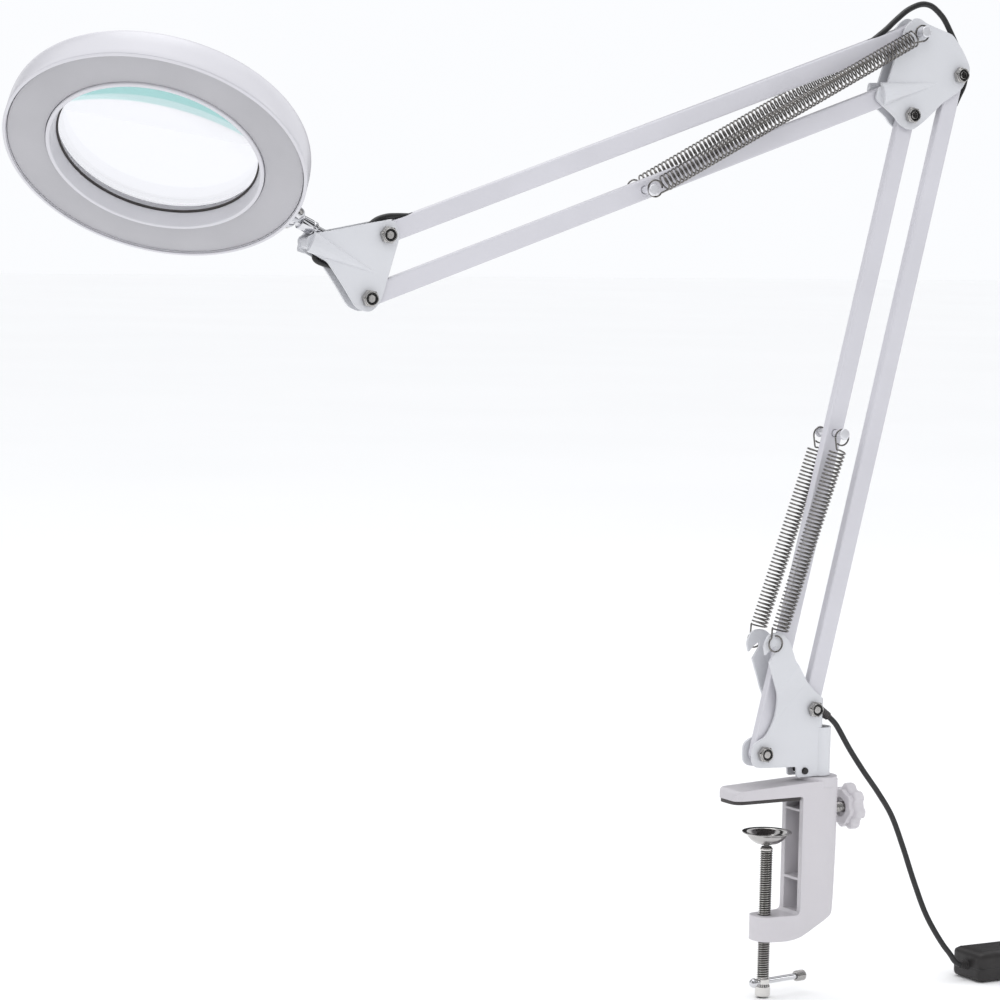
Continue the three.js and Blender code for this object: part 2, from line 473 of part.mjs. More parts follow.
add('head_housing', ring([[HEAD_R, -0.4], [HEAD_R, -14.6], [71.5, HEAD_BACK], [52.4, HEAD_BACK], [52.4, -13.2], [54.2, -13.2],
  [54.2, -16.2], [71.0, -16.2], [73.2, -14], [73.2, -0.4], [HEAD_R, -0.4]]), WHITE_PLASTIC);
add('head_bezel', ring([[73.4, 0.4], [73.4, -0.1], [HEAD_R, -0.1], [HEAD_R, 0.2], [74.6, 0.6], [73.8, 0.6], [73.4, 0.4]]),
  WHITE_PLASTIC);
add('led_diffuser', ring([[72.9, -0.6], [54.2, -0.6], [54.2, -2.4], [72.9, -2.4], [72.9, -0.6]]), DIFFUSER);
add('led_board', ring([[69.8, -10.2], [56.2, -10.2], [56.2, -11.8], [69.8, -11.8], [69.8, -10.2]], 40), CIRCUIT);
add('lens_ring', ring([[INNER_LIP_R, 0.4], [51.6, 0.6], [50.2, -6.4], [50.2, -7.2], [51.9, -7.2], [51.9, -12.8], [53.7, -12.8],
  [53.9, -3], [53.9, 0], [INNER_LIP_R, 0.4]]), WHITE_PLASTIC);
add('lens_seal', ring([[51.5, -7.5], [49.4, -7.5], [49.4, -8.2], [51.5, -8.2], [51.5, -7.5]], 40), RUBBER);
function lensProfile() {
  const edge = 1.6;
  const sag = 3.0;
  const rim = LENS_R;
  const steps = 5;
  const face = (sign) => Array.from({ length: steps + 1 }, (_, i) => {
    const r = (rim * i) / steps;
    return [r, sign * (edge + sag * (1 - (r / rim) ** 2))];
  });
  return [...face(1), ...face(-1).reverse()].map(([r, s]) => [r, s - 13.4]);
}
add('magnifier_lens', ring(lensProfile()), GLASS);

function headLug() {
  const foot = new THREE.BoxGeometry(1.4, 8.4, 12).translate(HEAD_R + 1.0, -12.2, 0);
  const cheek = (side) => {
    const z = side * 3.1;
    const arm = new THREE.BoxGeometry(4.6, 6.4, 2.4).translate(HEAD_R + 2.7, -12.5, z);
    const round = new THREE.CylinderGeometry(3.5, 3.5, 2.4, 24).rotateX(Math.PI / 2).translate(HEAD_R + 5, -12.5, z);
    return join(arm, round);
  };
  const lug = join(foot, cheek(1), cheek(-1)).applyMatrix4(headFrame);
  return cut(lug, rod(fork(-12), fork(12), 1.6 + GAP, 16));
}
const lugSeat = new THREE.CylinderGeometry(HEAD_R + GAP, HEAD_R + GAP, 30, 96).translate(0, -10, 0).applyMatrix4(headFrame);
add('head_lug', cut(headLug(), lugSeat), WHITE_PAINT);

// ---------- cables held by the arm ----------
const cable = (base, points, steps) =>
  tubeAlong(points.map(([x, z]) => [base.x + x, 0, base.z + z]), CABLE_R, steps);
add('head_cable', cable(H1, [[-8.2, -12], [-9.4, -4], [-8.2, 2.8], [-4, 7], [2, 9], [8, 9.4], [14, 9.4], [20, 9.3], [26, 9.3]],
  26), RUBBER);
add('head_cable_inner', cable(H1, [[-33.5, -7], [-36.2, -9], [-38, -11.6], [-36, -13.8], [-30, -15.6], [-22, -17],
  [-15, -17], [-11, -16]], 22), RUBBER);
add('elbow_cable_upper', cable(P5, [[-32, -8.6], [-27.3, -5.4], [-18.7, 0.8], [-12, 6.4], [-4, 12.2], [4.5, 15.5],
  [11.3, 15], [16.5, 11.9]], 26), RUBBER);
add('elbow_cable_lower', cable(P5, [[17, 11.5], [20.8, 7.8], [26.4, -0.6], [31.4, -9], [35.2, -16], [36.4, -22.2],
  [35.4, -28], [32.7, -33.2], [29.6, -38.9], [24.5, -48.1]], 34), RUBBER);

// ---------- free cord with its in-line switch, coil and plug ----------
const CORD_START = [39.4, 0, 43.4];
const SWITCH = { x0: 130, x1: 194, y: -13, w: 26, h: 17 };
const inletZ = FLOOR_Z + 8.7;
add('cord_gland', rod(new THREE.Vector3(33.2, 0, 47.2), new THREE.Vector3(39.1, 0, 43.6), 2.4, 14, 2.1), RUBBER);
const CORD_ROUTE = [
  CORD_START, [42.6, 0, 40.6], [46, 0, 36.4], [54.3, 0, 24.1], [64, 0, 11.4], [75, 0, -2], [84.5, 0, -15.5],
  [92, -1, -33], [99, -3, -53], [106, -6, -72], [114, -9.5, -87], [121, -12, -96.6],
  [SWITCH.x0 - 5, SWITCH.y, inletZ], [SWITCH.x0 - GAP, SWITCH.y, inletZ],
];
add('cord', tubeAlong(CORD_ROUTE, CABLE_R, 44), RUBBER);
function switchBox() {
  const half = SWITCH.w / 2;
  const shape = outline([[SWITCH.x0, SWITCH.y - half, 4], [SWITCH.x1, SWITCH.y - half, 4],
    [SWITCH.x1, SWITCH.y + half, 4], [SWITCH.x0, SWITCH.y + half, 4]]);
  const g = new THREE.ExtrudeGeometry(shape, { depth: SWITCH.h, bevelEnabled: false, curveSegments: 5 });
  g.translate(0, 0, FLOOR_Z);
  const well = new THREE.CylinderGeometry(5.6, 5.6, 3.4, 24).rotateX(Math.PI / 2);
  return cut(g, well.translate(162, SWITCH.y, FLOOR_Z + SWITCH.h - 0.7));
}
add('cord_switch', switchBox(), BLACK_PLASTIC);
add('switch_button', new THREE.CylinderGeometry(5.2, 5.2, 2.4, 24).rotateX(Math.PI / 2)
  .translate(162, SWITCH.y, FLOOR_Z + SWITCH.h + 0.1), BLACK_PLASTIC);

const COIL = { x: 240, y: -13, inner: 6.2, outer: 27.4, h: 6.6 };     // eleven turns in two layers
const lieZ = FLOOR_Z + CABLE_R;
const TAIL_ROUTE = [
  [SWITCH.x1 + GAP, SWITCH.y, inletZ], [199, -13.4, inletZ - 0.6], [204.5, -16.5, -104.6], [210, -23, lieZ],
  [217, -32, lieZ], [226, -39.4, lieZ], [COIL.x, COIL.y - COIL.outer - CABLE_R - GAP, lieZ],
];
add('cord_tail', tubeAlong(TAIL_ROUTE, CABLE_R, 16), RUBBER);
add('cord_coil', new THREE.LatheGeometry([[COIL.inner, 0], [COIL.outer, 0], [COIL.outer, COIL.h], [COIL.inner, COIL.h],
  [COIL.inner, 0]].map(([r, s]) => new THREE.Vector2(r, s)), 40).rotateX(Math.PI / 2)
  .translate(COIL.x, COIL.y, FLOOR_Z), RUBBER);
function usbPlug() {
  const x = 270;
  const y = COIL.y - 28;
  const grip = new THREE.BoxGeometry(27, 12, 8).translate(x + 13.5, y, FLOOR_Z + 4);
  const shell = new THREE.BoxGeometry(13, 11.8, 4.5).translate(x + 33.3, y, FLOOR_Z + 4);
  const mouth = new THREE.BoxGeometry(9, 10.8, 1.9).translate(x + 36, y, FLOOR_Z + 4.9);
  return cut(join(grip, shell), mouth);
}
add('cord_plug', usbPlug(), BLACK_PLASTIC);

export default lamp;
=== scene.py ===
"""Magnifying lamp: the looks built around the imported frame. Lengths are millimetres until a mesh is made."""

import math

import bmesh
import bpy
import numpy as np
from mathutils import Matrix, Vector


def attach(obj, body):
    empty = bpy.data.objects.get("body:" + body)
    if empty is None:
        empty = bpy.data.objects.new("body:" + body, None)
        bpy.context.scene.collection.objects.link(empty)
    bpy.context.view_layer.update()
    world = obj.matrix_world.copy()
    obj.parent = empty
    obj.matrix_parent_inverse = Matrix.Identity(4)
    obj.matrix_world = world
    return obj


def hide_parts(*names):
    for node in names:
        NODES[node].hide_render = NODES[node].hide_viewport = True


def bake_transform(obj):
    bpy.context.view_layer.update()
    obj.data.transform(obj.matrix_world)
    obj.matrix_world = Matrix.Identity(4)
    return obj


bl_info = {
    "name": "Magnifying Lamp",
    "version": (1, 0, 0),
    "blender": (4, 5, 0),
    "location": "View3D > Sidebar > Lamp",
    "description": "Builds a clamp-on magnifying lamp round its packed frame",
    "category": "Add Mesh",
}

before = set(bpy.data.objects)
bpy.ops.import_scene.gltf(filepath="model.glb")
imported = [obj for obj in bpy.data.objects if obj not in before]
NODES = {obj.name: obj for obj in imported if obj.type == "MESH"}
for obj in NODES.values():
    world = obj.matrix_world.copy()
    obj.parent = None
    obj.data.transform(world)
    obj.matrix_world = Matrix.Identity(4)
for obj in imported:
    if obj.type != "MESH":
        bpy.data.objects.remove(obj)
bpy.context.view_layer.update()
MM = 0.001


# ---------------------------------------------------------------- layout shared with the CAD
def vec(*xyz):
    return np.array(xyz, float)


def unit(v):
    v = np.asarray(v, float)
    return v / np.linalg.norm(v)


FLOOR_Z = -110.2
P1 = vec(-7.1, 0, 26.5)
P2 = P1 + vec(32.5, 0, 22.9)
LOWER = vec(math.cos(math.radians(76.2)), 0, math.sin(math.radians(76.2)))
UPPER = vec(math.cos(math.radians(199.3)), 0, math.sin(math.radians(199.3)))
P4 = P1 + 359 * LOWER
P3 = P2 + 359 * LOWER
P5 = P4 + vec(3.8, 0, 45.3)
P6 = P5 + vec(-9.9, 0, -32.0)
H1 = P5 + 347 * UPPER
H2 = P6 + 347 * UPPER
LOWER_PIN = P1 + 179.5 * LOWER
UPPER_PIN = P6 + 173.5 * UPPER
EAR = P1 + vec(1.6, 0, 59.2)
X, Y, Z = vec(1, 0, 0), vec(0, 1, 0), vec(0, 0, 1)

NORMAL = unit(vec(-0.431, -0.474, -0.777))
STEM = unit(vec(0.915, 0, -0.4035))
TO_STEM = unit(STEM - NORMAL * (STEM @ NORMAL))
TILT = unit(np.cross(NORMAL, TO_STEM))
HINGE = vec(-368.9, 1.7, 347.0) + 80 * TO_STEM - 5 * NORMAL
HEAD_MID = vec(-368.9, 1.7 - HINGE[1], 347.0)
HINGE[1] = 0
RIM = HEAD_MID + 7.5 * NORMAL
BAR_ANGLE = math.radians(8)
BAR = vec(math.cos(BAR_ANGLE), math.sin(BAR_ANGLE), 0)
SCREW_TOP = -24.0
SWITCH = vec(162, -13, FLOOR_Z + 8.5)
COIL = vec(240, -13, FLOOR_Z)
COIL_INNER = 8.0
PLUG = vec(270, -41, FLOOR_Z + 4.0)
GLAND = vec(33.2, 0, 47.2)
CORD_EXIT = vec(39.4, 0, 43.4)
POST_FOOT = vec(33, 0, -22.3)
STUD_END = vec(38.4, 0, -7.5)
KNOB = vec(48.4, 0, -7.5)
BAR_MID = vec(0, 0, -101.5)
SCREW_R = 3.6
SPRING_R = 4.8
CABLE = 1.6
LENS_R = 50.8
LENS_DEPTH = 13.4
THREAD_SAMPLES = 8


# ---------------------------------------------------------------- surfaces
def mesh_object(name, points, faces, sharp=38):
    """One mesh from vertices in millimetres and faces, turned to face outward, smooth except at sharp edges."""
    points = np.asarray(points, float) * MM
    a = points[faces[:, 0]]
    volume = np.einsum("ij,ij->i", a, np.cross(points[faces[:, 1]], points[faces[:, 2]])).sum()
    volume += np.einsum("ij,ij->i", a, np.cross(points[faces[:, 2]], points[faces[:, 3]])).sum()
    if volume < 0:
        faces = faces[:, ::-1]
    mesh = bpy.data.meshes.new(name)
    mesh.from_pydata(points.tolist(), [], faces.tolist())
    weld(mesh)
    mesh.shade_smooth()
    mesh.set_sharp_from_angle(angle=math.radians(sharp))
    piece = bpy.data.objects.new(name, mesh)
    bpy.context.scene.collection.objects.link(piece)
    return piece


def weld(mesh):
    """Merges the doubled vertices of seams and poles."""
    work = bmesh.new()
    work.from_mesh(mesh)
    bmesh.ops.remove_doubles(work, verts=work.verts, dist=1e-7)
    bmesh.ops.dissolve_degenerate(work, edges=work.edges, dist=1e-7)
    work.to_mesh(mesh)
    work.free()
    mesh.validate()


def grid_faces(rows, cols, close_rows, close_cols):
    """Quads of a grid numbered row by row: (i, j), (i, j+1), (i+1, j+1), (i+1, j), wrapping where it closes."""
    i = np.arange(rows if close_rows else rows - 1)[:, None]
    j = np.arange(cols if close_cols else cols - 1)[None, :]
    i2, j2 = (i + 1) % rows, (j + 1) % cols
    quads = [i * cols + j, i * cols + j2, i2 * cols + j2, i2 * cols + j]
    return np.stack([np.broadcast_to(q, (i.size, j.size)) for q in quads], -1).reshape(-1, 4)


def rounded(corners, samples=6, closed=False):
    """A line through corners (a, b, r): each corner is a parabola between the points r away on both its sides."""
    out = []
    n = len(corners)
    for k, corner in enumerate(corners):
        here = np.array(corner[:2], float)
        r = corner[2] if len(corner) > 2 else 0
        ends = not closed and k in (0, n - 1)
        if r == 0 or ends:
            out.append(here[None])
            continue
        before, after = (np.array(corners[(k + s) % n][:2], float) - here for s in (-1, 1))
        a = here + before * min(r / np.linalg.norm(before), 0.49)
        b = here + after * min(r / np.linalg.norm(after), 0.49)
        t = np.linspace(0, 1, samples)[:, None]
        out.append((1 - t) ** 2 * a + 2 * t * (1 - t) * here + t**2 * b)
    return np.concatenate(out)


def basis(direction):
    """Two unit vectors square to a direction and to each other."""
    d = unit(direction)
    u = unit(np.cross(d, Y if abs(d[1]) < 0.9 else X))
    return u, np.cross(d, u), d


def revolve(name, corners, origin, direction, cols=72, closed=False, radius=None, samples=6, sharp=38):
    """Profile (r, s) turned about a line: P = origin + s d + R (cos t u + sin t v), with R = r, or radius(r, s, t)."""
    u, v, d = basis(direction)
    line = rounded(corners, samples, closed)
    t = np.linspace(0, 2 * math.pi, cols, endpoint=False)
    r, s = (np.repeat(line[:, k : k + 1], cols, 1) for k in (0, 1))
    if radius:
        r = radius(r, s, t[None, :])
    points = origin + s[..., None] * d + r[..., None] * (np.cos(t)[:, None] * u + np.sin(t)[:, None] * v)
    return mesh_object(name, points.reshape(-1, 3), grid_faces(len(line), cols, closed, True), sharp)


def smooth_path(points, step):
    """A Catmull-Rom line through points: q = (2b + (c - a) t + (2a - 5b + 4c - d) t^2 + (3b - a - 3c + d) t^3) / 2
    between b and c of each four neighbours a, b, c, d. It is then resampled at a step."""
    p = np.asarray(points, float)
    p = np.concatenate([[2 * p[0] - p[1]], p, [2 * p[-1] - p[-2]]])
    t = np.linspace(0, 1, 24, endpoint=False)[None, :, None]
    a, b, c, d = (p[k : len(p) - 3 + k][:, None] for k in range(4))
    q = 0.5 * (2 * b + (c - a) * t + (2 * a - 5 * b + 4 * c - d) * t**2 + (3 * b - a - 3 * c + d) * t**3)
    q = np.concatenate([q.reshape(-1, 3), p[-2:-1]])
    return resample(q, step)


def resample(q, step):
    """Points at equal distances, about a step apart, along a line."""
    reach = np.concatenate([[0], np.cumsum(np.linalg.norm(np.diff(q, axis=0), axis=1))])
    at = np.linspace(0, reach[-1], max(2, int(reach[-1] / step) + 1))
    return np.stack([np.interp(at, reach, q[:, k]) for k in range(3)], 1)


def tube(name, path, radius, side, sides=14, sharp=50):
    """A round tube: P = path + R (cos t a + sin t b), with a the side vector made square to the path and b = path x a.
    A ring of 0.8 R and a point close each end."""
    tangent = np.gradient(path, axis=0)
    tangent /= np.linalg.norm(tangent, axis=1)[:, None]
    side = np.broadcast_to(side, path.shape)
    a = side - tangent * np.einsum("ij,ij->i", side, tangent)[:, None]
    a /= np.linalg.norm(a, axis=1)[:, None]
    b = np.cross(tangent, a)
    r = np.broadcast_to(np.asarray(radius, float), len(path))
    ends = lambda x: np.concatenate([x[:1], x[:1], x, x[-1:], x[-1:]])
    path, a, b, r = ends(path), ends(a), ends(b), ends(r)
    r[[0, -1]] = 0
    r[[1, -2]] *= 0.8
    t = np.linspace(0, 2 * math.pi, sides, endpoint=False)
    ring = np.cos(t)[None, :, None] * a[:, None] + np.sin(t)[None, :, None] * b[:, None]
    points = path[:, None] + r[:, None, None] * ring
    return mesh_object(name, points.reshape(-1, 3), grid_faces(len(path), sides, False, True), sharp)


def rounded_box(name, centre, size, r, axes=(X, Y, Z), n=12):
    """A block with round edges: P = c + r (q - c) / |q - c|, where q is a point on a cube's grid and c is q held inside
    the block shrunk by r."""
    half = np.array(size, float) / 2
    line = np.tan(np.linspace(-1, 1, n) * 0.9) / math.tan(0.9)
    g, h = np.meshgrid(line, line, indexing="ij")
    one = np.ones_like(g)
    sheets = [(g, h, one), (g, h, -one), (g, one, h), (g, -one, h), (one, g, h), (-one, g, h)]
    q = np.concatenate([np.stack(s, -1).reshape(-1, 3) for s in sheets]) * half
    core = np.clip(q, -(half - r), half - r)
    p = core + r * (q - core) / np.maximum(np.linalg.norm(q - core, axis=1), 1e-9)[:, None]
    faces = [grid_faces(n, n, False, False) + k * n * n for k in range(6)]
    faces = np.concatenate([f if k in (0, 3, 4) else f[:, ::-1] for k, f in enumerate(faces)])
    return mesh_object(name, centre + p @ np.array(axes), faces, 60)


# ---------------------------------------------------------------- materials
def new_material(name):
    """A material with its node tree and shader."""
    material = bpy.data.materials.new(name)
    material.use_nodes = True
    tree = material.node_tree
    return material, tree, tree.nodes["Principled BSDF"]


def linear(rgb):
    """Scene-linear colour from 0..255 display values: c / 12.92 near black, ((c + 0.055) / 1.055)^2.4 above."""
    c = np.array(rgb, float) / 255
    return np.where(c <= 0.04045, c / 12.92, ((c + 0.055) / 1.055) ** 2.4)


def node(tree, kind, **values):
    """A new node with its sockets or settings filled in by name."""
    made = tree.nodes.new(kind)
    for key, value in values.items():
        if key in made.inputs:
            made.inputs[key].default_value = value
        else:
            setattr(made, key, value)
    return made


def noise(tree, scale, detail=3.0, stretch=(1, 1, 1)):
    """Noise over the piece's own coordinates, in metres, stretched along an axis where asked."""
    place = node(tree, "ShaderNodeTexCoord")
    mapping = node(tree, "ShaderNodeMapping", Scale=stretch)
    made = node(tree, "ShaderNodeTexNoise", Scale=scale, Detail=detail)
    tree.links.new(place.outputs["Object"], mapping.inputs["Vector"])
    tree.links.new(mapping.outputs["Vector"], made.inputs["Vector"])
    return made.outputs["Fac"]


def ramp(tree, source, low, high, colors):
    """Maps a factor from low..high onto two colours or two greys."""
    made = node(tree, "ShaderNodeValToRGB")
    made.color_ramp.elements[0].position = low
    made.color_ramp.elements[1].position = high
    for element, color in zip(made.color_ramp.elements, colors):
        element.color = tuple(color) + (1,) if len(color) == 3 else tuple(color)
    tree.links.new(source, made.inputs["Fac"])
    return made.outputs["Color"]


def surface(name, color, rough, grain, depth, metallic=0.0, spread=0.03, stretch=(1, 1, 1), edge=0.0004, wear=0.0,
            coat=0.0, sheen=0.0, blotch=26.0, root_shade=None):
    """A solid finish. Colour drifts by spread over centimetres, roughness and bump vary at grain, and edges are rounded
    by edge metres in the shading and lightened by wear. Where two radii about the Z axis are given, in millimetres, the
    colour falls to a dark tone from the outer to the inner one, on a ramp that counts centimetres: painted shade in the
    roots of a thread."""
    material, tree, shader = new_material(name)
    base = np.array(color)
    tone = ramp(tree, noise(tree, blotch, 4), 0.3, 0.7, [base * (1 - spread), np.minimum(base * (1 + spread), 1)])
    # Painted shade: the colour darkens from the thread's outer radius in to its root radius.
    if root_shade:
        place = node(tree, "ShaderNodeTexCoord")
        flat = node(tree, "ShaderNodeVectorMath", operation="MULTIPLY")
        flat.inputs[1].default_value = (0.1 / MM, 0.1 / MM, 0)
        reach = node(tree, "ShaderNodeVectorMath", operation="LENGTH")
        tree.links.new(place.outputs["Object"], flat.inputs[0])
        tree.links.new(flat.outputs[0], reach.inputs[0])
        tone = ramp(tree, reach.outputs["Value"], root_shade[0] / 10, root_shade[1] / 10, [base * 0.16, base])
    rough_map = ramp(tree, noise(tree, grain * 0.25, 5, stretch), 0.25, 0.75,
                     [(rough * 0.82,) * 3, (rough * 1.18,) * 3])
    tree.links.new(rough_map, shader.inputs["Roughness"])
    shader.inputs["Metallic"].default_value = metallic
    shader.inputs["Coat Weight"].default_value = coat
    shader.inputs["Coat Roughness"].default_value = 0.18
    shader.inputs["Sheen Weight"].default_value = sheen
    bump = node(tree, "ShaderNodeBump", Strength=1.0, Distance=depth)
    tree.links.new(noise(tree, grain, 4, stretch), bump.inputs["Height"])
    bevel = node(tree, "ShaderNodeBevel", Radius=edge)
    bevel.samples = 6
    tree.links.new(bevel.outputs["Normal"], bump.inputs["Normal"])
    tree.links.new(bump.outputs["Normal"], shader.inputs["Normal"])
    if wear:
        plain = node(tree, "ShaderNodeNewGeometry")
        dot = node(tree, "ShaderNodeVectorMath", operation="DOT_PRODUCT")
        tree.links.new(plain.outputs["Normal"], dot.inputs[0])
        tree.links.new(bevel.outputs["Normal"], dot.inputs[1])
        worn = ramp(tree, dot.outputs["Value"], 0.86, 0.985, [(1, 1, 1), (0, 0, 0)])
        amount = node(tree, "ShaderNodeMath", operation="MULTIPLY")
        amount.inputs[1].default_value = wear
        tree.links.new(worn, amount.inputs[0])
        mix = node(tree, "ShaderNodeMix", data_type="RGBA")
        tree.links.new(amount.outputs[0], mix.inputs["Factor"])
        tree.links.new(tone, mix.inputs[6])
        mix.inputs[7].default_value = (*np.minimum(base * 1.3 + 0.02, 1), 1)
        tree.links.new(mix.outputs[2], shader.inputs["Base Color"])
    else:
        tree.links.new(tone, shader.inputs["Base Color"])
    return material


def lens_material():
    """Clear glass with a painted teal reflection, a crescent at its upper edge: the teal starts 1.55 R from a point R
    below the lens's middle, along the lens's own downward direction, where R is the lens's radius."""
    material, tree, shader = new_material("lens_glass")
    lift = unit(unit(Z - NORMAL * NORMAL[2]) + 0.35 * TO_STEM)
    place = node(tree, "ShaderNodeTexCoord")
    offset = node(tree, "ShaderNodeVectorMath", operation="SUBTRACT")
    offset.inputs[1].default_value = tuple((RIM - LENS_DEPTH * NORMAL - LENS_R * lift) * MM)
    length = node(tree, "ShaderNodeVectorMath", operation="LENGTH")
    part = node(tree, "ShaderNodeMath", operation="MULTIPLY")
    part.inputs[1].default_value = 1 / (2 * LENS_R * MM)
    tree.links.new(place.outputs["Object"], offset.inputs[0])
    tree.links.new(offset.outputs[0], length.inputs[0])
    tree.links.new(length.outputs["Value"], part.inputs[0])
    # Painted reflection: a teal crescent at the lens's upper edge, put into the glass's colour.
    painted_edge_reflection = ramp(tree, part.outputs[0], 0.775, 0.785, [linear((252, 252, 255)), linear((176, 226, 224))])
    tree.links.new(painted_edge_reflection, shader.inputs["Base Color"])
    smear = ramp(tree, noise(tree, 60, 3), 0.4, 0.8, [(0.0,) * 3, (0.015,) * 3])
    tree.links.new(smear, shader.inputs["Roughness"])
    shader.inputs["Transmission Weight"].default_value = 1.0
    shader.inputs["IOR"].default_value = 1.49
    return material


def diffuser_material():
    """Frosted plastic: a rough translucent sheet with fine grain, greyer than the white around it."""
    material, tree, shader = new_material("frosted_diffuser")
    tone = ramp(tree, noise(tree, 22, 3), 0.3, 0.7, [linear((170, 169, 173)), linear((178, 177, 181))])
    tree.links.new(tone, shader.inputs["Base Color"])
    shader.inputs["Roughness"].default_value = 0.42
    shader.inputs["Subsurface Weight"].default_value = 0.25
    shader.inputs["Subsurface Radius"].default_value = (0.002, 0.002, 0.002)
    bump = node(tree, "ShaderNodeBump", Strength=0.6, Distance=0.00004)
    tree.links.new(noise(tree, 2600, 2), bump.inputs["Height"])
    tree.links.new(bump.outputs["Normal"], shader.inputs["Normal"])
    return material


FINISHES = {}


def build_finishes(look):
    """Every finish, with the settings' colours and grain."""
    peel = look.peel_depth
    FINISHES.update(
        clamp_paint=surface("clamp_paint", look.clamp_color, 0.44, 900, peel * 2.4, wear=0.35, edge=0.0006,
                            coat=0.15),
        bracket_paint=surface("bracket_paint", look.bracket_color, 0.38, 1400, peel, wear=0.5, edge=0.00045,
                              coat=0.2),
        tube_paint=surface("tube_paint", look.tube_color, 0.36, 1500, peel, wear=0.3, edge=0.0005, coat=0.2),
        head_plastic=surface("head_plastic", look.head_color, 0.33, 2200, 0.00001, edge=0.0003, coat=0.1,
                             spread=0.012),
        chrome=surface("chrome", linear((212, 212, 215)), 0.09, 300, 0.000002, metallic=1.0, edge=0.0002),
        zinc_steel=surface("zinc_steel", linear((178, 176, 174)), 0.17, 700, 0.000008, metallic=1.0, edge=0.00025,
                           spread=0.06, blotch=160),
        spring_steel=surface("spring_steel", linear((128, 125, 122)), 0.14, 900, 0.000004, metallic=1.0, edge=0.0001,
                             spread=0.08, blotch=120),
        satin_cap=surface("satin_cap", linear((226, 226, 230)), 0.42, 900, 0.000006, metallic=0.6, edge=0.0003),
        # The clamp screw's steel, with painted shade darkening the roots of its thread.
        thread_steel=surface("thread_steel", linear((214, 212, 209)), 0.17, 700, 0.000004, metallic=1.0, edge=0.0001,
                             spread=0.06, blotch=160, root_shade=(2.95, 3.55)),
        pad_rubber=surface("pad_rubber", linear((58, 54, 54)), 0.72, 1100, 0.00005, edge=0.0005, sheen=0.15),
        cable_jacket=surface("cable_jacket", look.cord_color, 0.42, 1800, 0.00001, edge=0.0001, sheen=0.1),
        black_plastic=surface("black_plastic", linear((30, 27, 27)), 0.5, 1600, 0.00003, edge=0.0003),
        nylon=surface("nylon", linear((196, 198, 204)), 0.45, 900, 0.00001, edge=0.0002),
        circuit_board=surface("circuit_board", linear((226, 224, 214)), 0.5, 600, 0.00001),
        lens_glass=lens_material(),
        diffuser=diffuser_material(),
    )


def dress(piece, finish, body, slot, *replaced):
    """Gives a piece its finish, the body it rides on and the CAD nodes it stands for."""
    piece.data.materials.append(FINISHES[finish])
    if body:
        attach(piece, body)
    if replaced:
        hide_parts(*replaced)
    return piece


# ---------------------------------------------------------------- pieces
def camera_and_stage(look):
    """Camera at the viewing place, pale floor and soft studio lights."""
    back = vec(-0.4980, -0.8625, 0.0898)
    right = vec(0.8660, -0.5, 0)
    up = np.cross(back, right)
    r = math.cos(look.camera_roll) * right + math.sin(look.camera_roll) * up
    u = np.cross(unit(back), r)
    turn = Matrix([[r[k], u[k], unit(back)[k]] for k in range(3)]).to_4x4()
    camera = bpy.data.objects.new("camera", bpy.data.cameras.new("camera"))
    camera.data.lens = look.camera_lens
    camera.data.sensor_width = 36
    camera.matrix_world = Matrix.Translation(Vector((-1.0509, -1.5196, 0.3277))) @ turn
    bpy.context.scene.collection.objects.link(camera)
    bpy.context.scene.camera = camera

    floor = bpy.data.meshes.new("floor")
    half, z = 14.0, FLOOR_Z * MM - 0.0001
    floor.from_pydata([(-half, -half, z), (half, -half, z), (half, half, z), (-half, half, z)], [], [(0, 1, 2, 3)])
    ground = bpy.data.objects.new("floor", floor)
    bpy.context.scene.collection.objects.link(ground)
    material, tree, shader = new_material("floor")
    tone = ramp(tree, noise(tree, 1.5, 2), 0.3, 0.7, [(0.97, 0.97, 0.97), (0.985, 0.985, 0.985)])
    tree.links.new(tone, shader.inputs["Base Color"])
    shader.inputs["Roughness"].default_value = 0.8
    shader.inputs["Specular IOR Level"].default_value = 0.1
    ground.data.materials.append(material)

    world = bpy.data.worlds.new("studio")
    world.use_nodes = True
    bpy.context.scene.world = world
    sky = world.node_tree.nodes["Background"]
    sky.inputs["Color"].default_value = (0.97, 0.98, 1.0, 1)
    sky.inputs["Strength"].default_value = look.sky_strength
    for name, place, size, power in (
        ("key", (-1.3, -1.7, 1.9), 1.2, look.key_power),
        ("side", (1.9, -0.9, 1.1), 0.9, look.key_power * 0.3),
        ("top", (-0.2, 0.3, 2.2), 1.4, look.key_power * 1.1),
    ):
        light = bpy.data.objects.new(name, bpy.data.lights.new(name, "AREA"))
        light.data.shape = "DISK"
        light.data.size = size
        light.data.energy = power
        aim = Vector((-0.15, 0, 0.2)) - Vector(place)
        light.matrix_world = Matrix.Translation(Vector(place)) @ aim.to_track_quat("-Z", "Y").to_matrix().to_4x4()
        bpy.context.scene.collection.objects.link(light)
    flags(look)
    bpy.context.scene.view_settings.view_transform = "Standard"


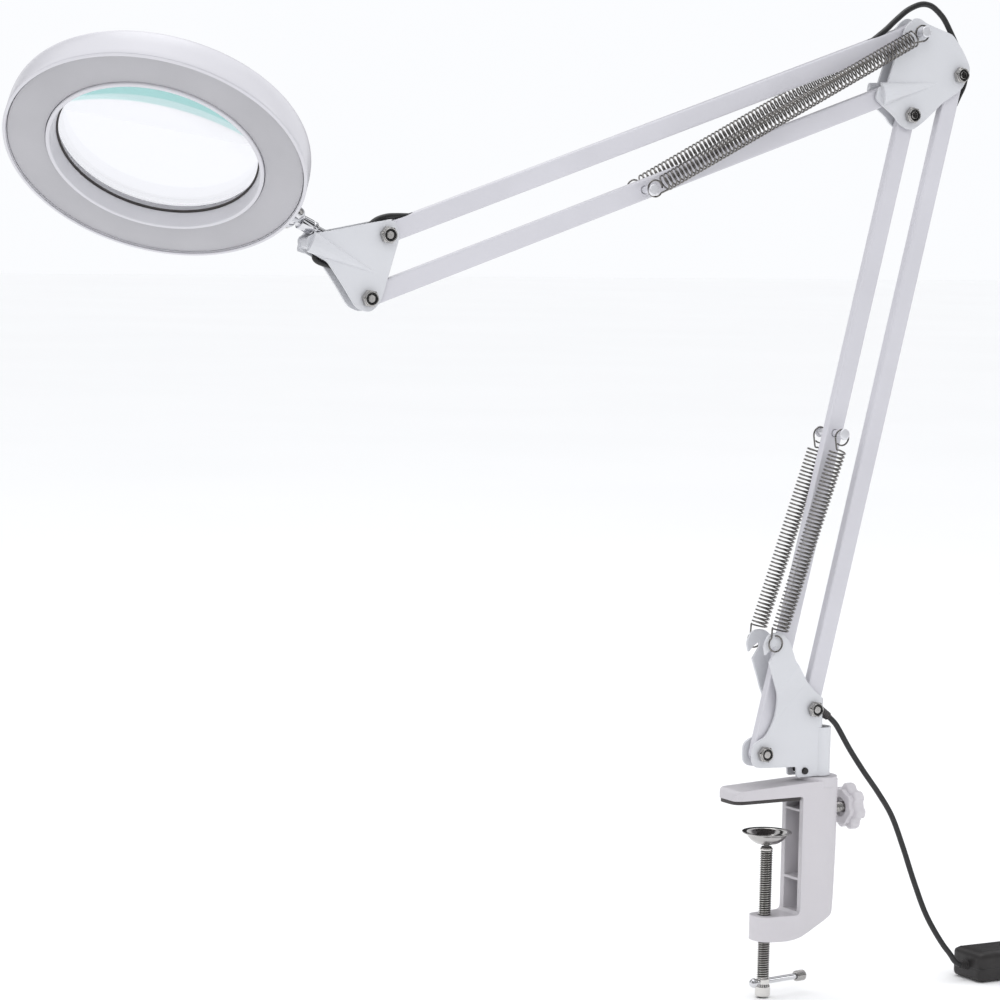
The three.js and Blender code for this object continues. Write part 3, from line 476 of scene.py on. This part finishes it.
def flags(look):
    """Upright black cards round the set, out of the camera's sight, which give the bright metal something dark: the
    corners are centre +- across +- rise, in metres, with the centre 1.4 from the Z axis."""
    angle = np.radians([-163, -126, -88, -50, -12, 55, 120])
    centre = np.stack([1.4 * np.cos(angle), 1.4 * np.sin(angle), 1.0 + 0 * angle], 1)
    across = np.stack([-np.sin(angle), np.cos(angle), 0 * angle], 1) * look.flag_width / 2
    rise = vec(0, 0, 1.08)
    points = np.stack([centre - across - rise, centre + across - rise, centre + across + rise, centre - across + rise],
                      1)
    mesh = bpy.data.meshes.new("flags")
    mesh.from_pydata(points.reshape(-1, 3).tolist(), [], np.arange(4 * len(angle)).reshape(-1, 4).tolist())
    cards = bpy.data.objects.new("flags", mesh)
    bpy.context.scene.collection.objects.link(cards)
    material, tree, shader = new_material("flag")
    tone = ramp(tree, noise(tree, 4, 2), 0.3, 0.7, [(0.01,) * 3, (0.02,) * 3])
    tree.links.new(tone, shader.inputs["Base Color"])
    shader.inputs["Roughness"].default_value = 1.0
    cards.data.materials.append(material)
    cards.visible_camera = False
    cards.visible_shadow = False
    cards.visible_diffuse = False
    cards.visible_transmission = False


def coil_path(look):
    """Two flat spirals, one on the other: R = outer - gap n inward along the bottom, then R = inner + gap n outward on
    top, where n counts turns and gap is the cable's width. A smooth step lifts the line by one width between them."""
    gap = 2 * CABLE
    turns = look.coil_turns / 2
    outer = COIL_INNER + gap * turns
    t = np.linspace(0, 1, 700)
    angle = -math.pi / 2 + 2 * math.pi * turns * np.concatenate([t, 1 + t[1:]])
    radius = np.concatenate([outer - gap * turns * t, COIL_INNER + gap * turns * t[1:]])
    rise = np.clip((np.concatenate([t, 1 + t[1:]]) - 0.985) / 0.03, 0, 1)
    height = CABLE + gap * rise * rise * (3 - 2 * rise)
    return np.stack([COIL[0] + radius * np.cos(angle), COIL[1] + radius * np.sin(angle), COIL[2] + height], 1)


def cord(look):
    """The free cord with its in-line switch, wound end and plug."""
    inlet = SWITCH[2] + 0.2
    lying = FLOOR_Z + CABLE
    first = smooth_path(
        [CORD_EXIT, (42.6, 0, 40.6), (46, 0, 36.4), (54.3, 0, 24.1), (64, 0, 11.4), (75, 0, -2), (84.5, 0, -15.5),
         (92, -1, -33), (99, -3, -53), (106, -6, -72), (114, -9.5, -87), (121, -12, -96.6), (125, -13, inlet),
         (131, -13, inlet), (160, -13, inlet), (193, -13, inlet), (199, -13.4, inlet - 0.6), (204.5, -16.5, -104.6),
         (210, -23, lying), (217, -32, lying), (226, -39.6, lying)], 1.0)
    coil = coil_path(look)
    out = smooth_path([coil[-1], coil[-1] + vec(6, -0.2, -0.3), PLUG + vec(-16, 0.4, 0.2), PLUG - 8 * X, PLUG], 1.0)
    route = smooth_path(np.concatenate([first[::6], coil[4::3], out[2::3]]), 1.0)
    near_box = np.clip((route[:, 0] - 130) / 60, 0, 1)[:, None]
    side = (1 - near_box) * Y + near_box * Z
    side[np.argmax(route[:, 0] > 193) :] = Z
    piece = dress(tube("cord_run", route, CABLE, side, 12), "cable_jacket", None, "cable_jacket", "cord", "cord_tail",
                  "cord_coil")
    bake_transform(piece)

    box = rounded_box("switch_body", SWITCH, (64, 26, 17), 3.4, n=26)
    dress(box, "black_plastic", "clamp", "black_plastic", "cord_switch")
    seam = rounded_box("switch_seam", SWITCH + vec(0, 0, -0.6), (64.2, 26.2, 0.5), 0.2, n=14)
    dress(seam, "cable_jacket", "clamp", "black_plastic")
    ring = revolve("switch_ring", [(5.5, -1, 0), (5.5, 0.35, 0.2), (6.9, 0.35, 0.3), (6.9, -1, 0)],
                   SWITCH + vec(0, 0, 8.5), Z, 64, closed=True)
    dress(ring, "black_plastic", "clamp", "black_plastic")
    button = revolve("button_cap", [(0, -0.8), (5.2, -0.8, 0.2), (5.2, 1.0, 0.5), (3.2, 1.25, 1), (0, 0.9)],
                     SWITCH + vec(0, 0, 8.5), Z, 64)
    dress(button, "nylon", "button", "black_plastic", "switch_button")
    boots = [cone_boot("switch_boot_" + end, SWITCH + s * vec(32, 0, 0) + vec(0, 0, 0.2), s * X)
             for end, s in (("in", -1), ("out", 1))]
    grip = rounded_box("plug_grip", PLUG + 13.5 * X, (27, 12, 8), 1.8, n=18)
    dress(grip, "black_plastic", "clamp", "black_plastic", "cord_plug")
    shell = rounded_box("plug_shell", PLUG + 33.4 * X, (13, 11.8, 4.5), 0.35, n=16)
    dress(shell, "chrome", "clamp", "chrome")


def cone_boot(name, at, direction):
    """A short ribbed strain relief, its radius falling along the cable: R = 3 - 0.22 s + 0.18 cos 5.2 s."""
    s = np.linspace(-0.4, 4.2, 40)
    r = 3.0 - 0.22 * s + 0.18 * np.cos(s * 5.2)
    line = [(1.3, -0.4), *zip(r.tolist(), s.tolist()), (1.5, 4.3)]
    return dress(revolve(name, line, at, direction, 40), "black_plastic", "clamp", "black_plastic")


def arm_cables(look):
    """The short cable loops that bridge the elbow and the head bracket."""
    loops = (
        ("head_cable_loop", H1, "head_cable", ("head_carrier", "top_tube", (-4, 0), (16, 3)), (
            (-8.2, -12), (-9.4, -4), (-8.2, 2.8), (-4, 7), (2, 9), (8, 9.4), (14, 9.4), (20, 9.3), (26, 9.3))),
        ("head_cable_inside", H1, "head_cable_inner", None, (
            (-33.5, -7), (-36.2, -9), (-38, -11.6), (-36, -13.8), (-30, -15.6), (-22, -17), (-15, -17), (-11, -16))),
        ("elbow_loop_upper", P5, "elbow_cable_upper", ("top_tube", "elbow", (-18, 0), (6, 0)), (
            (-32, -8.6), (-27.3, -5.4), (-18.7, 0.8), (-12, 6.4), (-4, 12.2), (4.5, 15.5), (11.3, 15), (16.5, 11.9),
            (17, 11.5))),
        ("elbow_loop_lower", P5, "elbow_cable_lower", ("rear_tube", "elbow", (30, -36), (33, -6)), (
            (16.5, 11.9), (20.8, 7.8), (26.4, -0.6), (31.4, -9), (35.2, -16), (36.4, -22.2), (35.4, -28), (32.7, -33.2),
            (29.6, -38.9), (24.5, -48.1))),
    )
    for name, base, replaced, carried, route in loops:
        piece = tube(name, smooth_path([base + vec(x, 0, z) for x, z in route], 0.7), CABLE, Y, 16)
        dress(piece, "cable_jacket", None if carried else "head_carrier", "cable_jacket", replaced)
        if carried:
            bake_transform(piece)


def head(look):
    """Ring-light head: housing, bezel, diffuser, board with emitters, lens, its ring and seal. The lens's two faces
    stand 1.6 + 3 (1 - r^2) from its middle plane, with r from 0 at the centre to 1 at the rim."""
    rings = (
        ("housing_shell", "head_plastic", "head_housing", (
            (74.75, -0.5, 0.3), (75, -2.2, 1), (75, -11.5, 4), (73.6, -16.2, 2), (69, -18, 2.5), (56, -18, 1.5),
            (52.4, -17.4, 1), (52.4, -13.2, 0.2), (54.2, -13.2, 0.2), (54.2, -16.2, 0.3), (70.5, -16.2, 1),
            (73.2, -13.5, 1), (73.2, -0.5, 0.1))),
        ("bezel_lip", "head_plastic", "head_bezel", (
            (73.45, 0.45, 0.15), (73.4, -0.1, 0.1), (75.0, -0.15, 0.1), (75.0, 0.3, 0.3), (74.5, 0.6, 0.3),
            (73.8, 0.6, 0.2))),
        ("diffuser_ring", "diffuser", "led_diffuser", (
            (72.9, -0.7, 0.3), (63, -0.45, 3), (54.2, -0.7, 0.3), (54.2, -2.4, 0.2), (72.9, -2.4, 0.2))),
        ("inner_wall", "head_plastic", "lens_ring", (
            (53.6, 0.5, 0.4), (51.9, 0.55, 0.6), (50.3, -5.8, 0.6), (50.2, -7.2, 0.2), (51.9, -7.2, 0.1),
            (51.9, -12.8, 0.2), (53.7, -12.8, 0.2), (53.9, -3, 0.3), (53.9, 0.1, 0.3))),
        ("seal_line", "pad_rubber", "lens_seal", (
            (51.5, -7.4, 0.2), (49.2, -7.6, 0.3), (49.4, -8.3, 0.2), (51.5, -8.3, 0.2))),
    )
    for name, finish, replaced, corners in rings:
        dress(revolve(name, corners, RIM, NORMAL, 160, closed=True), finish, "head", finish, replaced)
    r = np.linspace(0, 1, 40)
    half = 1.6 + 3.0 * (1 - r**2)
    faces = [np.stack([LENS_R * r, s * half - LENS_DEPTH], 1) for s in (1, -1)]
    line = np.concatenate([faces[0], faces[1][::-1]])
    lens = revolve("lens", line.tolist(), RIM, NORMAL, 160, sharp=25)
    dress(lens, "lens_glass", "head", "lens_glass", "magnifier_lens")
    leds(look)


def leds(look):
    """Square emitters round the board: P = RIM + (63 + a) out + b along + c d, for one block's corners (a, b, c), with
    out and along turned to equal angles about the head's axis d."""
    count = look.led_count
    angle = 2 * math.pi * np.arange(count) / count
    u, v, d = basis(NORMAL)
    square = ((-1.7, -1.4), (1.7, -1.4), (1.7, 1.4), (-1.7, 1.4))
    corners = np.array([(a, b, c) for c in (-10.1, -8.9) for a, b in square])
    faces = np.array([[0, 3, 2, 1], [4, 5, 6, 7], [0, 1, 5, 4], [1, 2, 6, 5], [2, 3, 7, 6], [3, 0, 4, 7]])
    out = np.cos(angle)[:, None] * u + np.sin(angle)[:, None] * v
    along = -np.sin(angle)[:, None] * u + np.cos(angle)[:, None] * v
    points = (RIM + (63 + corners[None, :, 0, None]) * out[:, None] + corners[None, :, 1, None] * along[:, None]
              + corners[None, :, 2, None] * d)
    index = (faces[None] + 8 * np.arange(count)[:, None, None]).reshape(-1, 4)
    dress(mesh_object("led_emitters", points.reshape(-1, 3), index, 30), "nylon", "head", "circuit_board")


def stem(look):
    """Chromed stem with collar and hinge eye, and the tilt bolt with its nut."""
    rod = [(0, 4.4), (3.8, 4.4, 0.5), (3.8, 11.2, 0.2), (3.3, 11.3, 0.1), (3.3, 11.8, 0.1), (3.6, 12, 0.2),
           (3.6, 14, 0.4), (2.3, 14.6, 0.2), (2.3, 41, 0.5), (0, 41)]
    dress(revolve("stem_rod", rod, HINGE, STEM, 64), "chrome", "stem", "chrome", "head_stem")
    dress(revolve("stem_eye", [(1.9, -1.6, 0.2), (3.0, -1.6, 0.3), (3.0, 1.6, 0.3), (1.9, 1.6, 0.2)], HINGE, TILT, 56,
                  closed=True), "chrome", "stem", "chrome")
    side = unit(np.cross(STEM, TILT))
    tongue = rounded_box("stem_tongue", HINGE + 4.1 * STEM, (4.8, 4.0, 3.1), 0.4,
                         (side, unit(np.cross(TILT, side)), TILT))
    dress(tongue, "chrome", "stem", "chrome")
    dress(revolve("tilt_bolt_body", [(0, -6.6), (1.2, -6.6, 0.1), (1.4, -6.9, 0.2), (2.8, -6.8, 0.4), (3.2, -6.0, 0.4),
                                     (3.2, -4.7, 0.2), (1.6, -4.7, 0.1), (1.6, 7.4, 0.4), (0, 7.4)], HINGE, TILT, 48),
          "zinc_steel", "stem", "zinc_steel", "tilt_bolt")
    dress(hex_nut("tilt_nut_body", HINGE, TILT, 4.7, 7.3, 2.77, 1.75, 0.3), "chrome", "stem", "chrome", "tilt_nut")


def hex_nut(name, at, direction, s0, s1, apothem, bore, phase):
    """Six flats cut from a turned, chamfered disc: R = min(profile r, apothem / cos(angle from the flat's middle))."""
    corner = apothem / math.cos(math.pi / 6)
    flats = lambda r, s, t: np.where(
        r > apothem * 0.97, np.minimum(r, apothem / np.cos((t + phase) % (math.pi / 3) - math.pi / 6)), r)
    line = [(bore, s0, 0.2), (apothem * 0.96, s0, 0), (corner, s0 + 0.5, 0.1), (corner, s1 - 0.5, 0.1),
            (apothem * 0.96, s1, 0), (bore, s1, 0.2)]
    return revolve(name, line, at, direction, 96, closed=True, radius=flats, sharp=20)


def fasteners(look):
    """Pivot bolts with their nylon-collar lock nuts, spring pins, post and gland. The gland's ribs follow
    R = 2.75 - 0.09 s + 0.16 cos 4.2 s along the cord."""
    pivots = (("base_front", P1, "base"), ("base_rear", P2, "base"), ("elbow_front", P4, "elbow"),
              ("elbow_rear", P3, "elbow"), ("head_top", H1, "head_carrier"), ("head_bottom", H2, "head_carrier"))
    for name, at, body in pivots:
        bolt = [(0, -9.0), (1.9, -9.0, 0.1), (2.4, -8.5, 0.2), (2.4, 5.25, 0.05), (4.3, 5.25, 0.2), (4.3, 6.9, 1.0),
                (2.4, 8.3, 1.2), (0, 8.3)]
        dress(revolve(name + "_bolt_body", bolt, at, Y, 56, radius=thread(0.8, 0.16, -9.2, -4.6), samples=10),
              "zinc_steel", body, "zinc_steel", name + "_bolt")
        dress(hex_nut(name + "_nut_body", at, Y, -8.35, -5.3, 4.0, 2.55, 0.35), "zinc_steel", body, "zinc_steel",
              name + "_nut")
        collar = [(3.1, -8.3, 0.1), (3.75, -8.3, 0.2), (3.7, -9.2, 0.4), (3.3, -9.35, 0.2), (3.1, -9.0, 0.1)]
        dress(revolve(name + "_nut_collar", collar, at, Y, 56, closed=True), "zinc_steel", body, "zinc_steel")
        insert = [(2.5, -8.3, 0.1), (3.08, -8.3, 0.1), (3.08, -8.95, 0.2), (2.5, -8.95, 0.2)]
        dress(revolve(name + "_nut_insert", insert, at, Y, 48, closed=True), "cable_jacket", body, "black_plastic")
    pins = (("lower_spring_pin", LOWER_PIN, 1.9, "front_tube"), ("upper_spring_pin", UPPER_PIN, 1.9, "bottom_tube"),
            ("elbow_spring_pin", P5, 2.4, "elbow"))
    for name, at, shank, body in pins:
        half = [(shank, 11.3, 0.1), (3.1, 11.3, 0.15), (3.1, 12.1, 0.4), (2.4, 12.5, 0.4), (0, 12.6)]
        line = [(r, -s, *q) for r, s, *q in half[::-1]] + [(shank, 0, 0)] + half
        dress(revolve(name + "_body", line, at, Y, 48), "satin_cap", body, "chrome", name)
    s = np.linspace(0, 6.6, 60)
    ribs = 2.75 - 0.09 * s + 0.16 * np.cos(s * 4.2)
    line = [(0, -1.4), (2.2, -1.4, 0.2), *zip(ribs.tolist(), s.tolist()), (1.7, 6.8)]
    way = unit(vec(39.1, 0, 43.6) - GLAND)
    dress(revolve("gland_body", line, GLAND, way, 48), "pad_rubber", "base", "pad_rubber", "cord_gland")
    dress(revolve("post_body", [(0, 0), (4.2, 0, 0.4), (5, 1, 0.6), (5, 59.2, 0.5), (4.2, 60.2, 0.4), (0, 60.2)],
                  POST_FOOT, Z, 72), "zinc_steel", "base", "zinc_steel", "base_post")


def thread(pitch, depth, low, high):
    """Radius cut by a helix between two heights: R = r - depth |saw(s / pitch - t / 2 pi)|, faded at both ends."""
    def cut(r, s, t):
        wave = np.abs(((s / pitch - t / (2 * math.pi)) % 1) * 2 - 1)
        fade = np.clip(np.minimum(s - low, high - s) / pitch, 0, 1)
        return r - depth * wave * fade
    return cut


def spring(name, hook_a, hook_b, y, replaced, look, body_len, pitch):
    """Close-wound extension spring. Coil: centre line + R (cos a w + sin a Y), the angle growing one turn a pitch.
    At each end the wire runs off the last turn along the axis and most of the way round the pin, in one circle."""
    a, b = hook_a + y * Y, hook_b + y * Y
    d = unit(b - a)
    w = vec(-d[2], 0, d[0])
    length = np.linalg.norm(b - a)
    wire = look.spring_wire / MM
    big = SPRING_R - wire / 2

    def hook(pin, along, w_side):
        """The wire round a pin: P = pin + 1.9 along + R (cos t along + sin t w_side), from 384 to 60 degrees."""
        t = np.radians(np.linspace(384, 60, 40))[:, None]
        return pin + 1.9 * along + big * (np.cos(t) * along + np.sin(t) * w_side)

    start, stop = (length - body_len) / 2, (length + body_len) / 2
    turns = round(body_len / pitch)
    t = np.linspace(0, 1, turns * 24 + 1)
    angle = 2 * math.pi * turns * t
    coil = (a + (start + (stop - start) * t)[:, None] * d + big * np.cos(angle)[:, None] * w
            + big * np.sin(angle)[:, None] * Y)
    ends = hook(a, d, w), hook(b, -d, w)[::-1]
    first = smooth_path(np.concatenate([ends[0], coil[3:9]]), 0.4)
    last = smooth_path(np.concatenate([coil[-9:-3], ends[1]]), 0.4)
    path = np.concatenate([first[:-1], coil[9:-9], last[1:]])
    piece = tube(name, path, wire / 2, unit(Y * 0.31 + d * 0.95), 8)
    dress(piece, "spring_steel", None, "spring_steel", replaced)
    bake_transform(piece)


def springs(look):
    """Two pairs of extension springs, hooked over their pins and the base bracket's ears."""
    for side, sign in (("near", -1), ("far", 1)):
        spring("lower_coil_" + side, EAR, LOWER_PIN, sign * 10.2, "lower_spring_" + side, look,
               104, look.lower_pitch / MM)
        spring("upper_coil_" + side, P5, UPPER_PIN, sign * 10.4, "upper_spring_" + side, look,
               181, look.upper_pitch / MM)


def clamp(look):
    """Clamp screw with its thread, pressed cup, sliding bar, star knob and stud."""
    pitch = look.thread_pitch / MM
    line = [(0, 0), (1.6, 0, 0.3), (1.6, 2, 0.1), (2.7, 2, 0.1), (SCREW_R, 3.2, 0.1)]
    line += [(SCREW_R, s) for s in np.arange(3.3, 77, pitch / THREAD_SAMPLES)]
    line += [(SCREW_R, 78.5, 0.2), (4.2, 80, 0.4), (4.2, 85, 0.5), (2.2, 86.2, 0.4), (0, 86.2)]
    screw = revolve("screw_body", line, SCREW_TOP * Z, -Z, 40, radius=thread(pitch, 0.75, 3.3, 76), sharp=30)
    dress(screw, "thread_steel", "screw", "zinc_steel", "clamp_screw")
    cup = [(1.9, -24.9, 0.2), (6.2, -24.2, 1.5), (9.8, -21.6, 1.5), (11.6, -18.6, 1), (13.7, -18.3, 0.3),
           (13.7, -17.6, 0.3), (11.0, -17.8, 1), (9.0, -20.9, 1.5), (5.8, -23.1, 1.5), (3.2, -23.6, 0.5),
           (1.9, -23.7, 0.1)]
    dress(revolve("cup_body", cup, vec(0, 0, 0), Z, 96, closed=True), "zinc_steel", "cup", "zinc_steel", "clamp_cup")
    rivet = [(0, 0.4), (1.6, 0.4, 0.1), (2.6, 0.35, 0.2), (2.7, 1.0, 0.4), (1.4, 1.6, 0.8), (0, 1.7)]
    dress(revolve("cup_rivet", rivet, vec(0, 0, -24.2), Z, 40), "zinc_steel", "screw", "zinc_steel")
    ball = [(2.6 * math.sin(a), -6.6 - 2.6 * math.cos(a)) for a in np.linspace(0, 2.45, 24)]
    bar = ball + [(1.65, -4.3, 0.2), (1.65, 30.8, 0.3), (1.2, 31.2, 0.1), (0, 31.2)]
    dress(revolve("bar_body", bar, BAR_MID, BAR, 48), "chrome", "screw", "chrome", "tommy_bar")
    cap = [(1.8, 24.3, 0.1), (2.7, 24.4, 0.3)] + [(3.0, s) for s in np.arange(25, 30, 0.1)]
    cap += [(2.6, 30.5, 0.4), (1.8, 30.7, 0.1)]
    dress(revolve("cap_body", cap, BAR_MID, BAR, 40, closed=True, radius=thread(0.9, 0.35, 24.6, 30.2), sharp=30),
          "zinc_steel", "screw", "zinc_steel", "tommy_cap")
    lobes = look.knob_lobes

    def star(r, s, t):
        """Lobes: R = r (1 + 0.088 tanh(2.2 cos n t)), growing from nothing at radius 7 to the whole at 11."""
        lobe = np.tanh(2.2 * np.cos(lobes * t)) * np.clip((r - 7) / 4, 0, 1)
        return np.where(r > 7, r * (1 + 0.088 * lobe), r)

    knob = [(3.05, 4.2, 0.2), (3.05, 8.9, 0.3), (6.4, 9.1, 0.6), (6.9, 9.5, 0.3), (10.6, 9.45, 0.6), (12, 8.4, 0.8),
            (12, 3.9, 0.9), (10.6, 2.9, 0.6), (9.4, 2.9, 0.2), (9.3, 0.3, 0.4), (5.3, 0, 0.3), (5.2, 2.2, 0.3),
            (3.05, 2.3, 0.1)]
    dress(revolve("knob_body", knob, KNOB, X, 168, closed=True, radius=star), "clamp_paint", "knob", "clamp_paint",
          "lock_knob")
    stud = [(0, 0), (2.3, 0, 0.1), (2.75, 0.5)] + [(2.75, s) for s in np.arange(0.6, 16.8, 0.1)]
    stud += [(2.5, 17.3, 0.1), (0, 17.4)]
    dress(revolve("stud_body", stud, STUD_END, X, 36, radius=thread(1.0, 0.3, 0.7, 16.8), sharp=30),
          "zinc_steel", "stud", "zinc_steel", "lock_stud")


KEPT = {
    "clamp_frame": "clamp_paint", "clamp_pad": "pad_rubber", "base_bracket": "bracket_paint",
    "base_pinch_screw": "black_plastic", "lower_front_tube": "tube_paint", "lower_rear_tube": "tube_paint",
    "elbow_bracket": "bracket_paint", "elbow_lower_rivet": "zinc_steel", "upper_top_tube": "tube_paint",
    "upper_bottom_tube": "tube_paint", "head_bracket": "bracket_paint", "stem_bush": "black_plastic",
    "head_lug": "bracket_paint", "led_board": "circuit_board",
}


def kept_nodes(look):
    """Finishes on the CAD nodes whose own shape is shown."""
    for name, finish in KEPT.items():
        for holder in NODES[name].material_slots:
            holder.link = "OBJECT"
            holder.material = FINISHES[finish]


# ---------------------------------------------------------------- add-on
def measure(name, description, default):
    """A length property, in metres."""
    return bpy.props.FloatProperty(name=name, description=description, default=default, unit="LENGTH", precision=5)


def paint(name, description, *rgb):
    """A colour property, from 0..255 display values."""
    return bpy.props.FloatVectorProperty(name=name, description=description, default=tuple(linear(rgb)),
                                         subtype="COLOR", min=0.0, max=1.0)


class LampSettings(bpy.types.PropertyGroup):
    """What can be varied without touching the frame."""

    camera_lens: bpy.props.FloatProperty(name="Lens", description="Camera's focal length", default=122.4,
                                         unit="CAMERA")
    camera_roll: bpy.props.FloatProperty(name="Roll", description="Camera's turn about its own line of sight",
                                         default=math.radians(1.22), subtype="ANGLE")
    sky_strength: bpy.props.FloatProperty(name="Sky", description="Strength of the even studio light", default=1.0)
    key_power: bpy.props.FloatProperty(name="Key light", description="Key light's power", default=9.0, unit="POWER")
    flag_width: measure("Flags", "Width of the black cards", 0.62)
    clamp_color: paint("Clamp", "Colour of the cast clamp's paint", 196, 193, 197)
    bracket_color: paint("Brackets", "Colour of the brackets' paint", 204, 205, 209)
    tube_color: paint("Tubes", "Colour of the arm tubes' paint", 201, 200, 206)
    head_color: paint("Head", "Colour of the head's plastic", 205, 204, 209)
    cord_color: paint("Cord", "Colour of the cord's jacket", 22, 22, 23)
    peel_depth: measure("Paint grain", "Depth of the powder coat's grain", 0.00002)
    coil_turns: bpy.props.IntProperty(name="Cord turns", description="Turns in the wound end of the cord", default=11)
    spring_wire: measure("Spring wire", "Thickness of the springs' wire", 0.00095)
    lower_pitch: measure("Lower pitch", "Lower springs' pitch", 0.00212)
    upper_pitch: measure("Upper pitch", "Upper springs' pitch", 0.00265)
    thread_pitch: measure("Thread pitch", "Clamp screw's pitch", 0.00127)
    knob_lobes: bpy.props.IntProperty(name="Knob lobes", description="Lobes round the star knob", default=7)
    led_count: bpy.props.IntProperty(name="Emitters", description="Light emitters behind the diffuser", default=36)


class LAMP_OT_stage(bpy.types.Operator):
    """Make the camera, floor and lights"""

    bl_idname = "lamp.stage"
    bl_label = "Stage"
    bl_options = {"REGISTER", "UNDO"}

    def execute(self, context):
        camera_and_stage(context.scene.lamp)
        return {"FINISHED"}


class LAMP_OT_finishes(bpy.types.Operator):
    """Make every material"""

    bl_idname = "lamp.finishes"
    bl_label = "Finishes"
    bl_options = {"REGISTER", "UNDO"}

    def execute(self, context):
        build_finishes(context.scene.lamp)
        return {"FINISHED"}


class LAMP_OT_cord(bpy.types.Operator):
    """Make the cord, switch and plug"""

    bl_idname = "lamp.cord"
    bl_label = "Cord"
    bl_options = {"REGISTER", "UNDO"}

    def execute(self, context):
        cord(context.scene.lamp)
        return {"FINISHED"}


class LAMP_OT_arm_cables(bpy.types.Operator):
    """Make the cable loops on the arm"""

    bl_idname = "lamp.arm_cables"
    bl_label = "Arm cables"
    bl_options = {"REGISTER", "UNDO"}

    def execute(self, context):
        arm_cables(context.scene.lamp)
        return {"FINISHED"}


class LAMP_OT_head(bpy.types.Operator):
    """Make the ring-light head and lens"""

    bl_idname = "lamp.head"
    bl_label = "Head"
    bl_options = {"REGISTER", "UNDO"}

    def execute(self, context):
        head(context.scene.lamp)
        return {"FINISHED"}


class LAMP_OT_stem(bpy.types.Operator):
    """Make the stem and tilt hinge"""

    bl_idname = "lamp.stem"
    bl_label = "Stem"
    bl_options = {"REGISTER", "UNDO"}

    def execute(self, context):
        stem(context.scene.lamp)
        return {"FINISHED"}


class LAMP_OT_fasteners(bpy.types.Operator):
    """Make bolts, nuts, pins, post and gland"""

    bl_idname = "lamp.fasteners"
    bl_label = "Fasteners"
    bl_options = {"REGISTER", "UNDO"}

    def execute(self, context):
        fasteners(context.scene.lamp)
        return {"FINISHED"}


class LAMP_OT_springs(bpy.types.Operator):
    """Make the four springs"""

    bl_idname = "lamp.springs"
    bl_label = "Springs"
    bl_options = {"REGISTER", "UNDO"}

    def execute(self, context):
        springs(context.scene.lamp)
        return {"FINISHED"}


class LAMP_OT_clamp(bpy.types.Operator):
    """Make the clamp's turned pieces"""

    bl_idname = "lamp.clamp"
    bl_label = "Clamp"
    bl_options = {"REGISTER", "UNDO"}

    def execute(self, context):
        clamp(context.scene.lamp)
        return {"FINISHED"}


class LAMP_OT_kept_nodes(bpy.types.Operator):
    """Give the frame's own pieces their finishes"""

    bl_idname = "lamp.kept_nodes"
    bl_label = "Frame finishes"
    bl_options = {"REGISTER", "UNDO"}

    def execute(self, context):
        kept_nodes(context.scene.lamp)
        return {"FINISHED"}


OPERATORS = (LAMP_OT_stage, LAMP_OT_finishes, LAMP_OT_cord, LAMP_OT_arm_cables, LAMP_OT_head, LAMP_OT_stem,
             LAMP_OT_fasteners, LAMP_OT_springs, LAMP_OT_clamp, LAMP_OT_kept_nodes)


class LAMP_PT_panel(bpy.types.Panel):
    """Settings and build steps."""

    bl_label = "Magnifying lamp"
    bl_idname = "LAMP_PT_panel"
    bl_space_type = "VIEW_3D"
    bl_region_type = "UI"
    bl_category = "Lamp"

    def draw(self, context):
        for name in LampSettings.__annotations__:
            self.layout.prop(context.scene.lamp, name)
        for cls in OPERATORS:
            self.layout.operator(cls.bl_idname)


CLASSES = [LampSettings, *OPERATORS, LAMP_PT_panel]


def register():
    for cls in CLASSES:
        bpy.utils.register_class(cls)
    bpy.types.Scene.lamp = bpy.props.PointerProperty(type=LampSettings)


def unregister():
    del bpy.types.Scene.lamp
    for cls in reversed(CLASSES):
        bpy.utils.unregister_class(cls)


def main():
    """Registers the add-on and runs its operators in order."""
    register()
    for cls in OPERATORS:
        getattr(bpy.ops.lamp, cls.bl_idname.split(".")[1])()
    bpy.context.view_layer.update()


if __name__ == "__main__":
    main()
